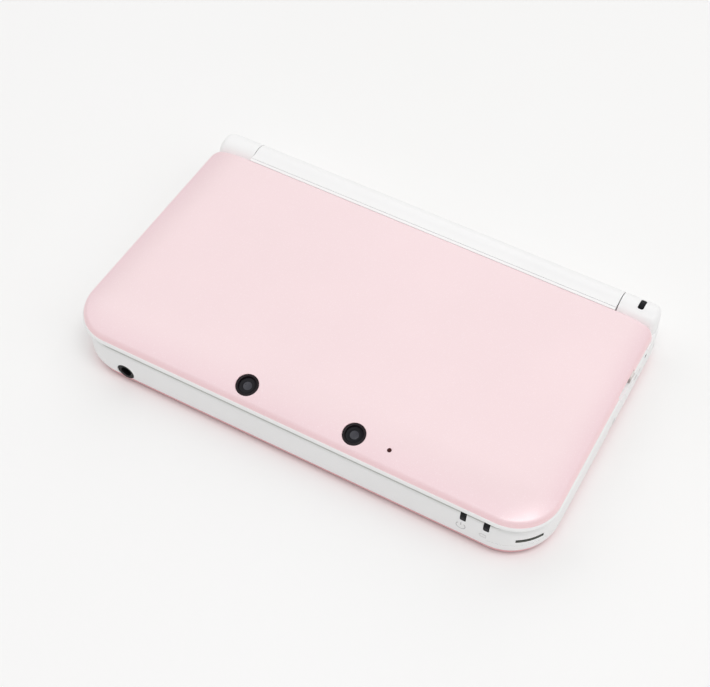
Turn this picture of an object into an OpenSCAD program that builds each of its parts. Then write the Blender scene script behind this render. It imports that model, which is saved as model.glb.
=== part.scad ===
// Clamshell handheld game console, closed, with its lid hinged along the rear edge.
// X runs along the hinge, +Y points to the hinge and +Z up.
// The origin lies on the resting face, under the middle of the base.

/* [Overall] */
// Width of the console along the hinge
body_w = 156; // [152:1:166]
// Depth from the front wall to the back of the hinge barrel
body_d = 93; // [92:0.5:98]
// Plan radius of the two front corners
front_r = 14; // [12:0.5:16]
// Plan radius of the two rear corners
rear_r = 8; // [8:0.5:10]
// Thickness of the outer walls
wall = 1.6; // [1.4:0.1:1.8]
// Gap between two housing parts that meet
part_gap = 0.15; // [0.1:0.05:0.25]

/* [Base] */
// Height of the base, from the resting face to the deck
base_h = 15.5; // [15.2:0.1:16]
// How far the base walls stand in under the lid's rim
base_lap = 0.4; // [0.3:0.05:0.6]
// Plan radius of the base's two front corners
base_r = 15.5; // [14.5:0.5:16]
// Radius of the rounding under the base walls
edge_r = 6.2; // [5.6:0.1:6.6]
// Radius of the rounding along the edge of the deck
brim_r = 0.6; // [0.4:0.1:0.8]
// Depth of the bottom cover
cover_t = 2; // [1.6:0.1:2.1]
// Thickness of the lower housing's floor
floor_t = 1.2; // [1:0.1:1.3]
// Height of the joint between the two base housings
seam_z = 7.1; // [6.6:0.1:7.4]
// Thickness of the deck plate
deck_t = 1.3; // [1.2:0.1:1.5]

/* [Lid] */
// Gap between the deck and the rim of the closed lid
lid_gap = 0.3; // [0.2:0.05:0.5]
// Height of the lid's rim
rim_h = 1.7; // [1.6:0.1:2]
// Depth of the lid's inner face above its rim
face_drop = 0.6; // [0.5:0.05:0.7]
// Height of the outer lid cover above the rim
shell_h = 4; // [3.9:0.1:4.6]
// Wall thickness of the outer lid cover
shell_t = 1.2; // [1:0.05:1.3]
// Width of the crowned band along the lid cover's sides
crown_w = 11; // [9:0.5:12]
// Radius of the tight rounding that ends this band
shell_r = 2.1; // [1.6:0.1:2.3]
// How far the lid cover stands in from the rim
shell_inset = 0.4; // [0.3:0.1:0.8]
// Radius of the curve that lowers the lid cover towards the front
slope_r = 37; // [32:1:44]
// Length of that curve, measured back from the front edge
slope_len = 14.8; // [13:0.2:15]
// Radius of the lid cover's front lip
lip_r = 2.5; // [2:0.1:2.8]
// Plan radius of the lid's rear corners
lid_rear_r = 3; // [2.5:0.5:4]

/* [Hinge] */
// Radius of the hinge barrel
barrel_r = 5.4; // [5.2:0.1:5.6]
// Half the length of the lid's barrel
barrel_half = 64; // [60:0.5:64.5]
// Gap between the barrel and the knuckles
hinge_gap = 0.3; // [0.2:0.05:0.4]
// Radius of the rounding at the outer end of each knuckle
knuckle_round = 2.4; // [1.5:0.1:3]
// Radius of the hinge shaft
shaft_r = 1.5; // [1.2:0.1:1.8]
// Radial clearance of a shaft that turns in its bore
run_gap = 0.05; // [0.03:0.01:0.08]
// Radius of the hinge cartridge
cartridge_r = 4; // [3.6:0.1:4.2]
// Length of the hinge cartridge
cartridge_len = 22; // [18:1:26]
// Outer radius of the hollow left hinge pin
tube_r = 3; // [2.8:0.1:3.4]

/* [Screens] */
// Width of the lower screen opening
touch_w = 86; // [80:1:88]
// Depth of the lower screen opening
touch_d = 65; // [60:1:66]
// Width of the upper screen opening
view_w = 107; // [100:1:110]
// Depth of the upper screen opening
view_d = 64.5; // [60:0.5:66]
// Margin of each display around its opening
screen_margin = 2; // [1.5:0.1:2.2]

/* [Controls] */
// Radius of the four round buttons
button_r = 4.4; // [4:0.1:4.6]
// Distance of the round buttons from the middle of their group
button_pitch = 7.6; // [7.2:0.1:8]
// Travel of the buttons
button_travel = 0.9; // [0.6:0.1:0.9]
// Height of the caps above the deck
cap_proud = 0.6; // [0.4:0.1:0.6]
// Gap around each cap
cap_gap = 0.2; // [0.15:0.05:0.3]
// Radius of the circle pad
pad_r = 9; // [8:0.1:9.4]
// Travel of the circle pad, each way
pad_travel = 2.2; // [1.6:0.1:2.4]
// Span of the direction pad
cross_span = 21; // [19:0.5:22]
// Width of the direction pad's arms
cross_w = 7; // [6:0.5:7.5]
// Height of the direction pad above the deck
cross_proud = 0.25; // [0.1:0.05:0.3]

/* [Ports] */
// Radius of the headphone bore
jack_r = 1.8; // [1.78:0.01:1.85]
// Radius of the headphone socket's nose
jack_nose_r = 2.85; // [2.5:0.05:3]
// Width of the game card slot
card_w = 34.4; // [33.5:0.1:35]
// Height of the game card slot
card_h = 4.4; // [4.2:0.1:4.4]
// Radius of the stylus
stylus_r = 2.4; // [2.2:0.1:2.45]
// Length of the stylus
stylus_len = 96; // [86:1:98]
// Spacing of the two outer cameras
camera_pitch = 35; // [32:0.5:38]
// Radius of the camera holes in the lid cover
camera_r = 3.45; // [3.2:0.05:3.6]

/* [Hidden] */
$fn = 64;

half_w = body_w / 2;
front_y = -body_d / 2;
rear_y = body_d / 2;
base_half = half_w - base_lap;
base_front = front_y + base_lap;
seam_gap = 0.03;

// Levels, from the resting face up
tray_z = cover_t + part_gap;
floor_z = tray_z + floor_t;
board_t = 1;
lcd_t = 1.6;
panel_t = 0.9;
under_z = base_h - deck_t;
panel_z = under_z - part_gap - panel_t;
lcd_z = panel_z - part_gap / 2 - lcd_t;
board_z = lcd_z - part_gap - board_t;
board_top = board_z + board_t;
cap_z = base_h + cap_proud;
rim_z = base_h + lid_gap;
face_z = rim_z + face_drop;
shell_z = rim_z + rim_h;
top_z = shell_z + shell_h;

// Hinge axis
axis_y = rear_y - barrel_r;
axis_z = top_z - barrel_r;
swing_r = barrel_r + 0.4;
knuckle_x = barrel_half + hinge_gap;
lid_rear_y = axis_y - barrel_r - 0.05;

// Crowned sides of the lid cover: a wide arc that ends in a tight one
shell_half = half_w - shell_inset;
side_z = shell_z + 0.2;
crown_drop = top_z - side_z;
crown_r = (pow(crown_w, 2) + pow(crown_drop, 2) - 2 * crown_w * shell_r)
    / (2 * (crown_drop - shell_r));
crown_lean = asin((crown_w - shell_r) / (crown_r - shell_r));

// Front slope of the lid cover
shell_front = front_y + shell_inset;
shell_fr = front_r - shell_inset;
slope_y = shell_front + slope_len;
lip_y = shell_front + lip_r;
lip_z = top_z - slope_r + sqrt(pow(slope_r - lip_r, 2) - pow(slope_y - lip_y, 2));
camera_y = shell_front + 5.4;
camera_tilt = asin((slope_y - camera_y) / slope_r);
camera_z = top_z - slope_r + slope_r * cos(camera_tilt);

// Places of the controls
upper_share = 0.14;
lower_share = 0.1935;
control_x = half_w - 18.5;
upper_y = upper_share * body_d;
lower_y = -lower_share * body_d;
dish_gap = 0.4;
stem_r = 2.6;
pad_reach = pad_travel * sqrt(2);
dish_r = pad_r + pad_reach + dish_gap;
dish_z = under_z - 0.5;
flange_t = 0.8;
flange_w = 0.8;
flange_z = under_z - part_gap - flange_t;
power_r = 2.6;
power_y = lower_y - 15.5;
row_y = front_y + 8;
key_w = 17;
key_d = 4.4;
key_pitch = 19.5;

// Screws that join the two base housings
screw_r = 1;
screw_head_r = 2;
boss_r = 2.5;
boss_x = half_w - 28;
mic_x = boss_x - 11;
side_boss_y = rear_y - 49.5;
boss_places = [[-boss_x, front_y + 5.5], [boss_x, front_y + 5.5], [-boss_x, rear_y - 15.5],
    [boss_x, rear_y - 15.5], [-base_half + 4.5, side_boss_y], [base_half - 4.5, side_boss_y]];
cover_screw_places = [[-40, rear_y - 12], [40, rear_y - 12]];
cover_screw_r = 1.2;
lid_screw_r = 0.8;
lid_screw_places = [[-half_w + 7, front_y + 16], [half_w - 7, front_y + 16],
    [-half_w + 7, lid_rear_y - 9.7], [half_w - 7, lid_rear_y - 9.7]];

// Ports
jack_x = -half_w + 20.3;
jack_z = 6.4;
jack_len = 14;
jack_block = [7.2, 14, 6];
card_z = floor_z + 0.45;
card_skin = 0.4;
card_depth = 30;
stylus_y = rear_y - 40;
stylus_z = floor_z + stylus_r + 0.85;
stylus_gap = 0.2;
sleeve_t = 0.4;
charge_x = -33;
charge_open = [8.6, 3.8];
charge_z = 6;
contact_pitch = 21;
contact_size = [2.2, 0.8, 2.2];
ir_x = 34;
ir_size = [9, 4.2];
ir_z = 6.4;
strap_z = 9.5;
strap_h = 1.4;
strap_from = -59.5;
strap_turn = 31;
strap_post_r = 0.9;
strap_mid_r = base_r - 2.9;
led_places = [half_w - 23.3, half_w - 16.2];
led_w = 1.8;
led_h = 4;
led_back = 3;
led_round = 0.5;
notice_x = (knuckle_x + half_w) / 2 - 0.5;
notice_y = axis_y + 0.6;
notice_size = [1.8, 4.1];
wireless_y = rear_y - 16.4;
wireless_size = [2, 1.5];

// Slots along the sides
sd_y = rear_y - 32.5;
sd_w = 24;
sd_z = 4.9;
sd_inset = 2.6;
flap_w = 25.6;
flap_z = 4.2;
flap_h = 4.4;
flap_t = 1.2;
flap_pin_r = 0.5;
flap_axis_x = -base_half + 1;
flap_axis_z = flap_z + 0.9;
volume_y = rear_y - 22.5;
volume_z = 11.3;
volume_knob = 5;
volume_travel = 4;
switch_y = rear_y - 22.9;
switch_z = 10.4;
switch_knob = 2.6;
switch_travel = 2;
slider_y = rear_y - 28.9;
slider_knob = 3.6;
slider_travel = 7;
slider_z = shell_z + 0.1;

// Triggers
trigger_in_x = 50.4;
trigger_leg_y = rear_y - 6;
trigger_z = 4.2;
trigger_h = 5.4;
trigger_gap = 0.2;
trigger_room = 1.8;
trigger_pin_x = 51.8;
trigger_pin_y = rear_y - 2.9;
trigger_pin_r = 0.8;
trigger_boss_r = 1.5;

// Colours
pink = [0.96, 0.86, 0.87];
white = [0.94, 0.94, 0.93];
black = [0.08, 0.08, 0.09];
grey = [0.62, 0.63, 0.65];
steel = [0.75, 0.76, 0.78];
board_green = [0.1, 0.38, 0.24];
gold = [0.83, 0.68, 0.35];

// ---- Shared shapes ----

// Everything between two heights
module slab(z0, z1) {
    translate([-body_w, -body_d, z0])
        cube([2 * body_w, 2 * body_d, z1 - z0]);
}

// Rounded outline with its own radii at the front and at the rear
module plan(half, front, rear, fr, rr) {
    polygon([[-half, front + fr], [-half + fr, front], [half - fr, front], [half, front + fr],
        [half, rear - rr], [half - rr, rear], [-half + rr, rear], [-half, rear - rr]]);
    for (side = [-1, 1]) {
        translate([side * (half - fr), front + fr]) circle(r = fr);
        translate([side * (half - rr), rear - rr]) circle(r = rr);
    }
}

// Outline with one radius at every corner, centred at a point
module pill(w, d, r) {
    plan(w / 2, -d / 2, d / 2, r, r);
}

// One straight stretch of a swept edge: its profile points to the angle a
module edge_run(a, start, len) {
    translate([start[0], start[1], 0])
        rotate([90, 0, a])
            linear_extrude(len) children();
}

// Sweeps a profile round a rounded rectangle; the profile reads its corner radius from $r
module swept(half, front, rear, fr, rr, z0, z1) {
    side_len = rear - rr - front - fr;
    for (side = [-1, 1]) {
        translate([side * (half - fr), front + fr, 0])
            rotate_extrude(angle = 90, start = side > 0 ? 270 : 180) let($r = fr) children();
        translate([side * (half - rr), rear - rr, 0])
            rotate_extrude(angle = 90, start = side > 0 ? 0 : 90) let($r = rr) children();
    }
    edge_run(-90, [half - fr, front + fr], 2 * (half - fr)) let($r = fr) children();
    edge_run(90, [-half + rr, rear - rr], 2 * (half - rr)) let($r = rr) children();
    edge_run(0, [half - fr, rear - rr], side_len) let($r = fr) children();
    edge_run(180, [-half + fr, front + fr], side_len) let($r = fr) children();
    translate([-half + fr, front + fr, z0])
        cube([2 * (half - fr), side_len, z1 - z0]);
}

// Quarter disc that fills the first quadrant, turned by a
module quarter(r, a) {
    rotate(a)
        intersection() {
            circle(r = r);
            square(r);
        }
}

// Outer form of the base with its rounded lower edge, or a form that lies inset within it
module base_form(inset = 0, top = base_h, brim = 0) {
    swept(base_half, base_front, rear_y, base_r, rear_r, inset, top) {
        translate([0, inset]) square([$r - edge_r, top - inset]);
        translate([$r - edge_r, edge_r]) square([edge_r - inset, top - brim - edge_r]);
        translate([$r - edge_r, edge_r]) square([edge_r - inset - brim, top - edge_r]);
        translate([$r - edge_r, edge_r]) quarter(edge_r - inset, -90);
        if (brim > 0) translate([$r - brim, top - brim]) quarter(brim, 0);
    }
}

// Outside of the closed base, with the rounded edge of the deck
module base_outside() {
    base_form(0, base_h, brim_r);
}

// Profile that the lid cover has from front to rear, drawn in Y and Z
module slope_profile(inset) {
    low_z = lip_z - 2 * lip_r;
    lean = atan2(slope_y - lip_y, lip_z - top_z + slope_r);
    meet_y = slope_y - (slope_r - inset) * sin(lean);
    translate([slope_y - 1, low_z]) square([body_d, top_z - inset - low_z]);
    intersection() {
        translate([slope_y, top_z - slope_r]) circle(r = slope_r - inset);
        translate([meet_y, low_z]) square([slope_y - meet_y, top_z - low_z]);
    }
    translate([lip_y, lip_z]) circle(r = lip_r - inset);
    translate([shell_front + inset, low_z]) square([2 * lip_r, lip_z - low_z]);
}

// Profile of the lid cover's sides, for swept()
module crown_profile(inset, z0) {
    arc_w = (crown_r - inset) * sin(crown_lean);
    high = top_z - z0;
    translate([0, z0]) square([$r - crown_w, high - inset]);
    translate([$r - crown_w, z0])
        intersection() {
            translate([0, high - crown_r]) circle(r = crown_r - inset);
            square([arc_w, high]);
        }
    translate([$r - shell_r, z0])
        intersection() {
            translate([0, side_z - z0]) circle(r = shell_r - inset);
            translate([-shell_r, 0]) square([2 * shell_r, high]);
        }
    translate([$r - 2 * shell_r, z0]) square([2 * shell_r - inset, side_z - z0]);
}

// Solid form of the lid cover, or the form of its inside
module cover_form(inset, z0) {
    overrun = 2 * crown_w;
    intersection() {
        swept(shell_half, shell_front, lid_rear_y + overrun, shell_fr, crown_w + 1, z0, top_z - inset)
            crown_profile(inset, z0);
        translate([-half_w, 0, 0])
            rotate([90, 0, 90])
                linear_extrude(body_w) slope_profile(inset);
        translate([0, 0, z0])
            linear_extrude(top_z)
                plan(shell_half - inset, shell_front + inset, lid_rear_y - inset,
                    shell_fr - inset, lid_rear_r - inset);
    }
}

// Puts things on the sloping front of the lid cover, with +Z standing out of its surface
module on_slope(x) {
    translate([x, camera_y, camera_z])
        rotate([camera_tilt, 0, 0]) children();
}

// A rod along X
module rod_x(r, x0, x1, y, z) {
    translate([x0, y, z])
        rotate([0, 90, 0]) cylinder(r = r, h = x1 - x0);
}

// A rod along Y
module rod_y(r, y0, y1, x, z) {
    translate([x, y1, z])
        rotate([90, 0, 0]) cylinder(r = r, h = y1 - y0);
}

// A block that is centred in X
module block(x, y0, z0, size) {
    translate([x - size[0] / 2, y0, z0]) cube(size);
}

// Space that one shoulder trigger fills, grown by a clearance; side is -1 for left
module trigger_zone(side, grow, leg_room = 0) {
    y0 = trigger_leg_y - grow - leg_room;
    mirror([side < 0 ? 1 : 0, 0, 0])
        translate([trigger_in_x - grow, y0, trigger_z - grow])
            cube([half_w, rear_y - y0 + 1, trigger_h + 2 * grow]);
}

// Walls of the pocket behind one trigger
module trigger_pocket(side) {
    intersection() {
        trigger_zone(side, trigger_gap + 0.8, trigger_room);
        difference() {
            base_form(0.1);
            base_form(wall + trigger_room + 1);
        }
    }
}

// Room in which one trigger swings, with the holes for its pin
module trigger_room_cut(side) {
    difference() {
        trigger_zone(side, trigger_gap, trigger_room);
        base_form(wall + trigger_room);
    }
    translate([side * trigger_pin_x, trigger_pin_y, trigger_z - trigger_gap])
        cylinder(r = trigger_boss_r + 0.3, h = trigger_h + 2 * trigger_gap);
    translate([side * trigger_pin_x, trigger_pin_y, floor_z])
        cylinder(r = trigger_pin_r + run_gap, h = trigger_z + trigger_h + 0.9 - floor_z);
}

// Openings that pass through the walls of both base housings
module port_cuts() {
    rod_y(jack_nose_r + 0.1, front_y - 1, base_front + 2 * wall, jack_x, jack_z);
    rod_x(stylus_r + stylus_gap, base_half - 2 * wall, half_w + 1, stylus_y, stylus_z);
    block(0, rear_y - 2 * wall, card_z, [card_w, 3 * wall, card_h]);
    block(charge_x, rear_y - 2 * wall, charge_z - charge_open[1] / 2 - part_gap,
        [charge_open[0] + 2 * part_gap, 3 * wall, charge_open[1] + 2 * part_gap]);
    block(ir_x, rear_y - 2 * wall, ir_z - ir_size[1] / 2 - part_gap,
        [ir_size[0] + 2 * part_gap, 3 * wall, ir_size[1] + 2 * part_gap]);
    translate([-base_half - 1, sd_y - flap_w / 2 - 0.25, flap_z - 0.4])
        cube([1 + 2 * wall, flap_w + 0.5, flap_h + 0.65]);
    rod_y(flap_pin_r + run_gap, sd_y - flap_w / 2 - 1.1, sd_y + flap_w / 2 + 1.1, flap_axis_x, flap_axis_z);
    for (side = [-1, 1]) trigger_room_cut(side);
}

// ---- Base housings ----

// Outline of the direction pad, grown by a gap
module cross_outline(gap) {
    for (a = [0, 90])
        rotate(a) pill(cross_span + 2 * gap, cross_w + 2 * gap, 1.2 + gap);
}

// Holes for the keys in the deck
module key_holes() {
    hole_h = 3 * deck_t;
    for (a = [0:90:270])
        translate([control_x, upper_y, under_z - deck_t])
            rotate(a) translate([button_pitch, 0, 0])
                cylinder(r = button_r + cap_gap, h = hole_h);
    translate([control_x, power_y, under_z - deck_t]) cylinder(r = power_r + cap_gap, h = hole_h);
    for (i = [-1:1])
        translate([i * key_pitch, row_y, under_z - deck_t])
            linear_extrude(hole_h)
                pill(key_w + 2 * cap_gap, key_d + 2 * cap_gap, key_d / 2 + cap_gap);
    translate([-control_x, lower_y, under_z - deck_t])
        linear_extrude(hole_h) cross_outline(0.35);
    translate([-control_x, upper_y, dish_z]) cylinder(r = dish_r, h = 2 * deck_t);
    translate([-control_x, upper_y, dish_z - 2 * deck_t])
        cylinder(r = stem_r + pad_reach + 0.2, h = 3 * deck_t);
    translate([mic_x, row_y, under_z - deck_t]) cylinder(r = 0.6, h = hole_h);
}

// Slots in the side walls for the two switches, each with a shallow dish around it
module side_slots() {
    translate([-base_half - 1, volume_y - volume_knob / 2 - volume_travel - 0.3, volume_z - 1.1])
        cube([1.6, volume_knob + 2 * volume_travel + 0.6, 2.2]);
    translate([-base_half - 1, volume_y - 1 - volume_travel - 0.3, volume_z - 0.6])
        cube([1.5 + wall, 2 * volume_travel + 2.6, 1.2]);
    translate([base_half - 0.6, switch_y - switch_knob / 2 - 0.3, switch_z - 0.9])
        cube([1.6, switch_knob + switch_travel + 0.6, 1.8]);
    translate([base_half - wall - 0.5, switch_y - 0.9, switch_z - 0.5])
        cube([1.5 + wall, switch_travel + 1.8, 1]);
}

// The two light guides in the front wall, which bend over the edge of the deck
module led_guides(gap) {
    for (x = led_places) {
        translate([x, base_front + wall + gap, base_h + 0.5 - led_h / 2])
            rotate([90, 0, 0])
                linear_extrude(wall + 1 + gap)
                    pill(led_w + 2 * gap, led_h + 1 + 2 * gap, led_round + gap);
        block(x, front_y - 1, under_z - gap, [led_w + 2 * gap, led_back + 1 + gap, deck_t + 1 + gap]);
    }
}

// Curved wall under the lid's barrel
module trough(r) {
    rod_x(r, -knuckle_x, knuckle_x, axis_y, axis_z);
}

// End knuckle of the hinge with its rounded end, following the rear corner of the base
module knuckle(side) {
    len = base_half - 0.4 - knuckle_x;
    intersection() {
        mirror([side < 0 ? 1 : 0, 0, 0])
            translate([knuckle_x, axis_y, axis_z])
                rotate([0, 90, 0])
                    rotate_extrude() {
                        square([barrel_r, len - knuckle_round]);
                        square([barrel_r - knuckle_round, len]);
                        translate([barrel_r - knuckle_round, len - knuckle_round]) quarter(knuckle_round, 0);
                    }
        linear_extrude(2 * top_z)
            plan(base_half - 0.3, base_front, rear_y, base_r, rear_r - 0.3);
    }
}

// Block in the front right corner that carries the strap bar
module strap_pocket() {
    translate([base_half - base_r, base_front + base_r, strap_z - strap_h / 2 - 1.2])
        rotate_extrude(angle = strap_turn + 10, start = strap_from - 5)
            translate([strap_mid_r - 2.4, 0]) square([4.4, strap_h + 2.4]);
}

// Slot through that block
module strap_slot() {
    translate([base_half - base_r, base_front + base_r, strap_z]) {
        rotate_extrude(angle = strap_turn, start = strap_from)
            translate([strap_mid_r - 1.6, -strap_h / 2]) square([base_r, strap_h]);
        rotate(strap_from + strap_turn / 2)
            translate([strap_mid_r, 0, -strap_h / 2 - 0.8])
                cylinder(r = strap_post_r + 0.03, h = strap_h + 1.6);
    }
}

module base_deck() {
    color(white)
        difference() {
            union() {
                difference() {
                    intersection() {
                        base_outside();
                        slab(seam_z + seam_gap / 2, base_h);
                    }
                    intersection() {
                        base_form(wall, under_z);
                        slab(0, under_z);
                    }
                }
                intersection() {
                    trough(swing_r + 1.2);
                    base_form(0.1);
                    slab(seam_z + 1, base_h);
                }
                for (side = [-1, 1]) {
                    knuckle(side);
                    intersection() {
                        trigger_pocket(side);
                        slab(seam_z + seam_gap / 2, base_h);
                    }
                }
                strap_pocket();
                translate([-control_x, upper_y, dish_z - 1])
                    cylinder(r = dish_r + 1, h = under_z - dish_z + 1.2);
                for (p = boss_places)
                    translate([p[0], p[1], board_top])
                        cylinder(r = boss_r, h = under_z - board_top + 0.2);
            }
            trough(swing_r);
            translate([-knuckle_x, axis_y - swing_r, axis_z])
                cube([2 * knuckle_x, 2 * swing_r, 2 * swing_r]);
            translate([-knuckle_x, axis_y, axis_z - barrel_r + 1.3])
                cube([2 * knuckle_x, 2 * swing_r, 2 * swing_r]);
            translate([0, screen_y, under_z - 1])
                linear_extrude(3 * deck_t) pill(lower_w, lower_d, 0.8);
            key_holes();
            port_cuts();
            side_slots();
            led_guides(0.05);
            strap_slot();
            notification_guide(0.05);
            wireless_guide(0.05);
            for (p = boss_places)
                translate([p[0], p[1], board_top - 1]) cylinder(r = screw_r + 0.03, h = 3);
            rod_x(shaft_r + 0.7 + 0.03, knuckle_x - 1, half_w - 4, axis_y, axis_z);
            rod_x(tube_r + 0.03, -half_w + 3.6, -knuckle_x + 1, axis_y, axis_z);
        }
}

module base_tray() {
    bay_wall = 1;
    color(white)
        difference() {
            union() {
                difference() {
                    intersection() {
                        base_form();
                        slab(tray_z, seam_z - seam_gap / 2);
                    }
                    intersection() {
                        base_form(wall);
                        slab(floor_z, base_h);
                    }
                }
                translate([bay_x - bay_wall, bay_y - bay_wall, floor_z - 0.2])
                    cube([bay_w + 2 * bay_wall, bay_d + 2 * bay_wall, board_z - part_gap - floor_z + 0.2]);
                for (side = [-1, 1])
                    intersection() {
                        trigger_pocket(side);
                        slab(tray_z, seam_z - seam_gap / 2);
                    }
                for (p = boss_places)
                    translate([p[0], p[1], floor_z - 0.2])
                        cylinder(r = boss_r, h = board_z - floor_z + 0.15);
                for (p = cover_screw_places)
                    translate([p[0], p[1], floor_z - 0.2]) cylinder(r = boss_r, h = 3.2);
            }
            translate([bay_x, bay_y, tray_z - 1])
                cube([bay_w, bay_d, board_z - part_gap - bay_wall - tray_z + 1]);
            port_cuts();
            for (p = boss_places) {
                translate([p[0], p[1], tray_z - 1]) cylinder(r = screw_r + 0.1, h = board_z);
                translate([p[0], p[1], tray_z - 1]) cylinder(r = screw_head_r + 0.2, h = 1.8);
            }
            for (p = cover_screw_places)
                translate([p[0], p[1], tray_z - 1]) cylinder(r = cover_screw_r + 0.03, h = 4.6);
            for (side = [-1, 1])
                translate([charge_x + side * contact_pitch / 2 - contact_size[0] / 2 - 0.05,
                        rear_y - 2 * wall, charge_z - 1.5])
                    cube([contact_size[0] + 0.1, 3 * wall, contact_size[2] + 0.1]);
        }
}

// Pink cover that closes the underside
module bottom_cover() {
    head_h = 1;
    color(pink)
        difference() {
            intersection() {
                base_form();
                slab(0, cover_t);
            }
            for (p = cover_screw_places) {
                translate([p[0], p[1], -1]) cylinder(r = cover_screw_r + 0.2, h = cover_t + 2);
                translate([p[0], p[1], -1]) cylinder(r = screw_head_r + 0.4, h = head_h + 1);
            }
            for (p = boss_places)
                translate([p[0], p[1], cover_t - 0.6]) cylinder(r = screw_head_r + 0.6, h = 1);
        }
}

// Cross recess in the underside of a screw head
module drive(r) {
    arm_w = 0.55;
    for (a = [0, 90])
        rotate(a) translate([-r * 0.6, -arm_w / 2, -1]) cube([r * 1.2, arm_w, 1.4]);
}

module bottom_cover_screws() {
    color(steel)
        for (p = cover_screw_places)
            translate([p[0], p[1], 0.2])
                difference() {
                    union() {
                        cylinder(r = screw_head_r + 0.2, h = 0.8);
                        cylinder(r = cover_screw_r, h = tray_z + 3);
                    }
                    drive(screw_head_r);
                }
}

module housing_screws() {
    color(steel)
        for (p = boss_places)
            translate([p[0], p[1], tray_z])
                difference() {
                    union() {
                        cylinder(r = screw_head_r, h = 0.75);
                        cylinder(r = screw_r, h = board_top + 1.8 - tray_z);
                    }
                    drive(screw_head_r);
                }
}

// ---- Inside the base ----

bay_gap = 8.1;
bay_x = jack_x + jack_block[0] / 2 + bay_gap;
bay_y = front_y + 9;
bay_w = 60;
bay_d = stylus_y - stylus_r - bay_y - 4.6;
screen_y = -1;
screen_side = 35;
screen_end = 14;
lower_w = min(touch_w, body_w - 2 * screen_side);
lower_d = min(touch_d, body_d - 2 * screen_end);

module battery_pack() {
    gap = 0.3;
    color(grey)
        translate([bay_x + gap, bay_y + gap, tray_z + 0.15])
            cube([bay_w - 2 * gap, bay_d - 2 * gap, board_z - part_gap - 1 - gap - tray_z]);
}

module mainboard() {
    board_w = body_w - 22;
    back = axis_y - 8.3;
    front = front_y + 8.5;
    color(board_green)
        difference() {
            translate([-board_w / 2, front, board_z]) cube([board_w, back - front, board_t]);
            translate([-board_w, upper_y - pad_box / 2 - 0.4, board_z - 1])
                cube([board_w - control_x + pad_box / 2 + 0.4, body_d, board_t + 2]);
            for (p = boss_places)
                translate([p[0], p[1], board_z - 1]) cylinder(r = boss_r + 0.3, h = board_t + 2);
        }
}

module lower_lcd() {
    color(grey)
        translate([0, screen_y, lcd_z])
            linear_extrude(lcd_t)
                pill(lower_w + 2 * screen_margin, lower_d + 2 * screen_margin, 0.8);
}

module touch_screen() {
    color(black)
        translate([0, screen_y, panel_z])
            linear_extrude(panel_t)
                pill(lower_w + 2 * screen_margin, lower_d + 2 * screen_margin, 0.8);
}

module headphone_socket() {
    back = base_front + 2 * wall + 0.1;
    mouth_y = base_front + 0.25;
    color(black)
        difference() {
            union() {
                rod_y(jack_nose_r, mouth_y, back + 1, jack_x, jack_z);
                block(jack_x, back, floor_z + 0.05, jack_block);
            }
            rod_y(jack_r, front_y - 1, mouth_y + jack_len, jack_x, jack_z);
        }
}

module charging_socket() {
    size = [charge_open[0], 9, charge_open[1]];
    color(black)
        difference() {
            block(charge_x, rear_y - 0.3 - size[1], charge_z - size[2] / 2, size);
            block(charge_x, rear_y - size[1] + 1, charge_z - size[2] / 2 + 0.5,
                [size[0] - 1, size[1], size[2] - 1]);
        }
    color(gold)
        block(charge_x, rear_y - size[1], charge_z - 0.35, [size[0] - 3, size[1] - 1.4, 0.7]);
}

module charging_contacts() {
    color(gold)
        for (side = [-1, 1])
            translate([charge_x + side * contact_pitch / 2 - contact_size[0] / 2,
                    rear_y - wall - 0.6, charge_z - 1.45])
                cube([contact_size[0], wall, contact_size[2]]);
}

module ir_window() {
    color(black)
        intersection() {
            block(ir_x, rear_y - wall, ir_z - ir_size[1] / 2, [ir_size[0], wall, ir_size[1]]);
            base_form(0.1);
        }
}

// Sheet metal cage that takes a game card, with its row of contacts at the back
module game_card_connector() {
    outer_y = rear_y - 2 * wall - 0.1;
    contact_step = 1.9;
    color(steel)
        difference() {
            block(0, outer_y - card_depth, card_z - card_skin,
                [card_w + 2 * card_skin, card_depth, card_h + 2 * card_skin]);
            block(0, outer_y - card_depth + 2, card_z, [card_w, card_depth, card_h]);
        }
    color(gold)
        for (i = [-8:8])
            block(i * contact_step, outer_y - card_depth + 1, card_z + card_h - 0.5, [0.8, 6, 0.7]);
}

module sd_card_socket() {
    x0 = -base_half + sd_inset;
    skin = 0.3;
    depth = 31;
    color(steel)
        translate([x0, sd_y - sd_w / 2 - 0.6, sd_z - 0.7])
            difference() {
                cube([depth, sd_w + 1.2, 3]);
                translate([-1, 0.4, 0.5]) cube([depth, sd_w + 0.4, 2.2]);
            }
}

module sd_card() {
    color(black)
        translate([-base_half + sd_inset, sd_y - sd_w / 2, sd_z])
            difference() {
                cube([29.4, sd_w, 1.4]);
                translate([26.4, -1, -1]) rotate(45) cube([6, 6, 4], center = true);
            }
}

// Hinged flap over the memory card slot
module sd_slot_cover() {
    color(white)
        union() {
            intersection() {
                difference() {
                    base_form();
                    base_form(flap_t);
                }
                translate([-base_half - 1, sd_y - flap_w / 2, flap_z]) cube([4, flap_w, flap_h]);
            }
            rod_y(flap_pin_r, sd_y - flap_w / 2 - 0.9, sd_y + flap_w / 2 + 0.9, flap_axis_x, flap_axis_z);
        }
}

module microphone() {
    color(steel)
        translate([mic_x, row_y, board_top + 0.1]) cylinder(r = 2, h = under_z - board_top - 0.2);
}

module front_led_windows() {
    color(black)
        intersection() {
            led_guides(0);
            base_outside();
        }
}

// Window on the right knuckle, grown by a gap
module notification_guide(gap) {
    depth = 1.4;
    translate([notice_x, notice_y, axis_z])
        difference() {
            linear_extrude(barrel_r + 1)
                pill(notice_size[0] + 2 * gap, notice_size[1] + 2 * gap, led_round + gap);
            rod_x(barrel_r - depth - gap, -notice_size[0], notice_size[0], axis_y - notice_y, 0);
        }
}

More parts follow.
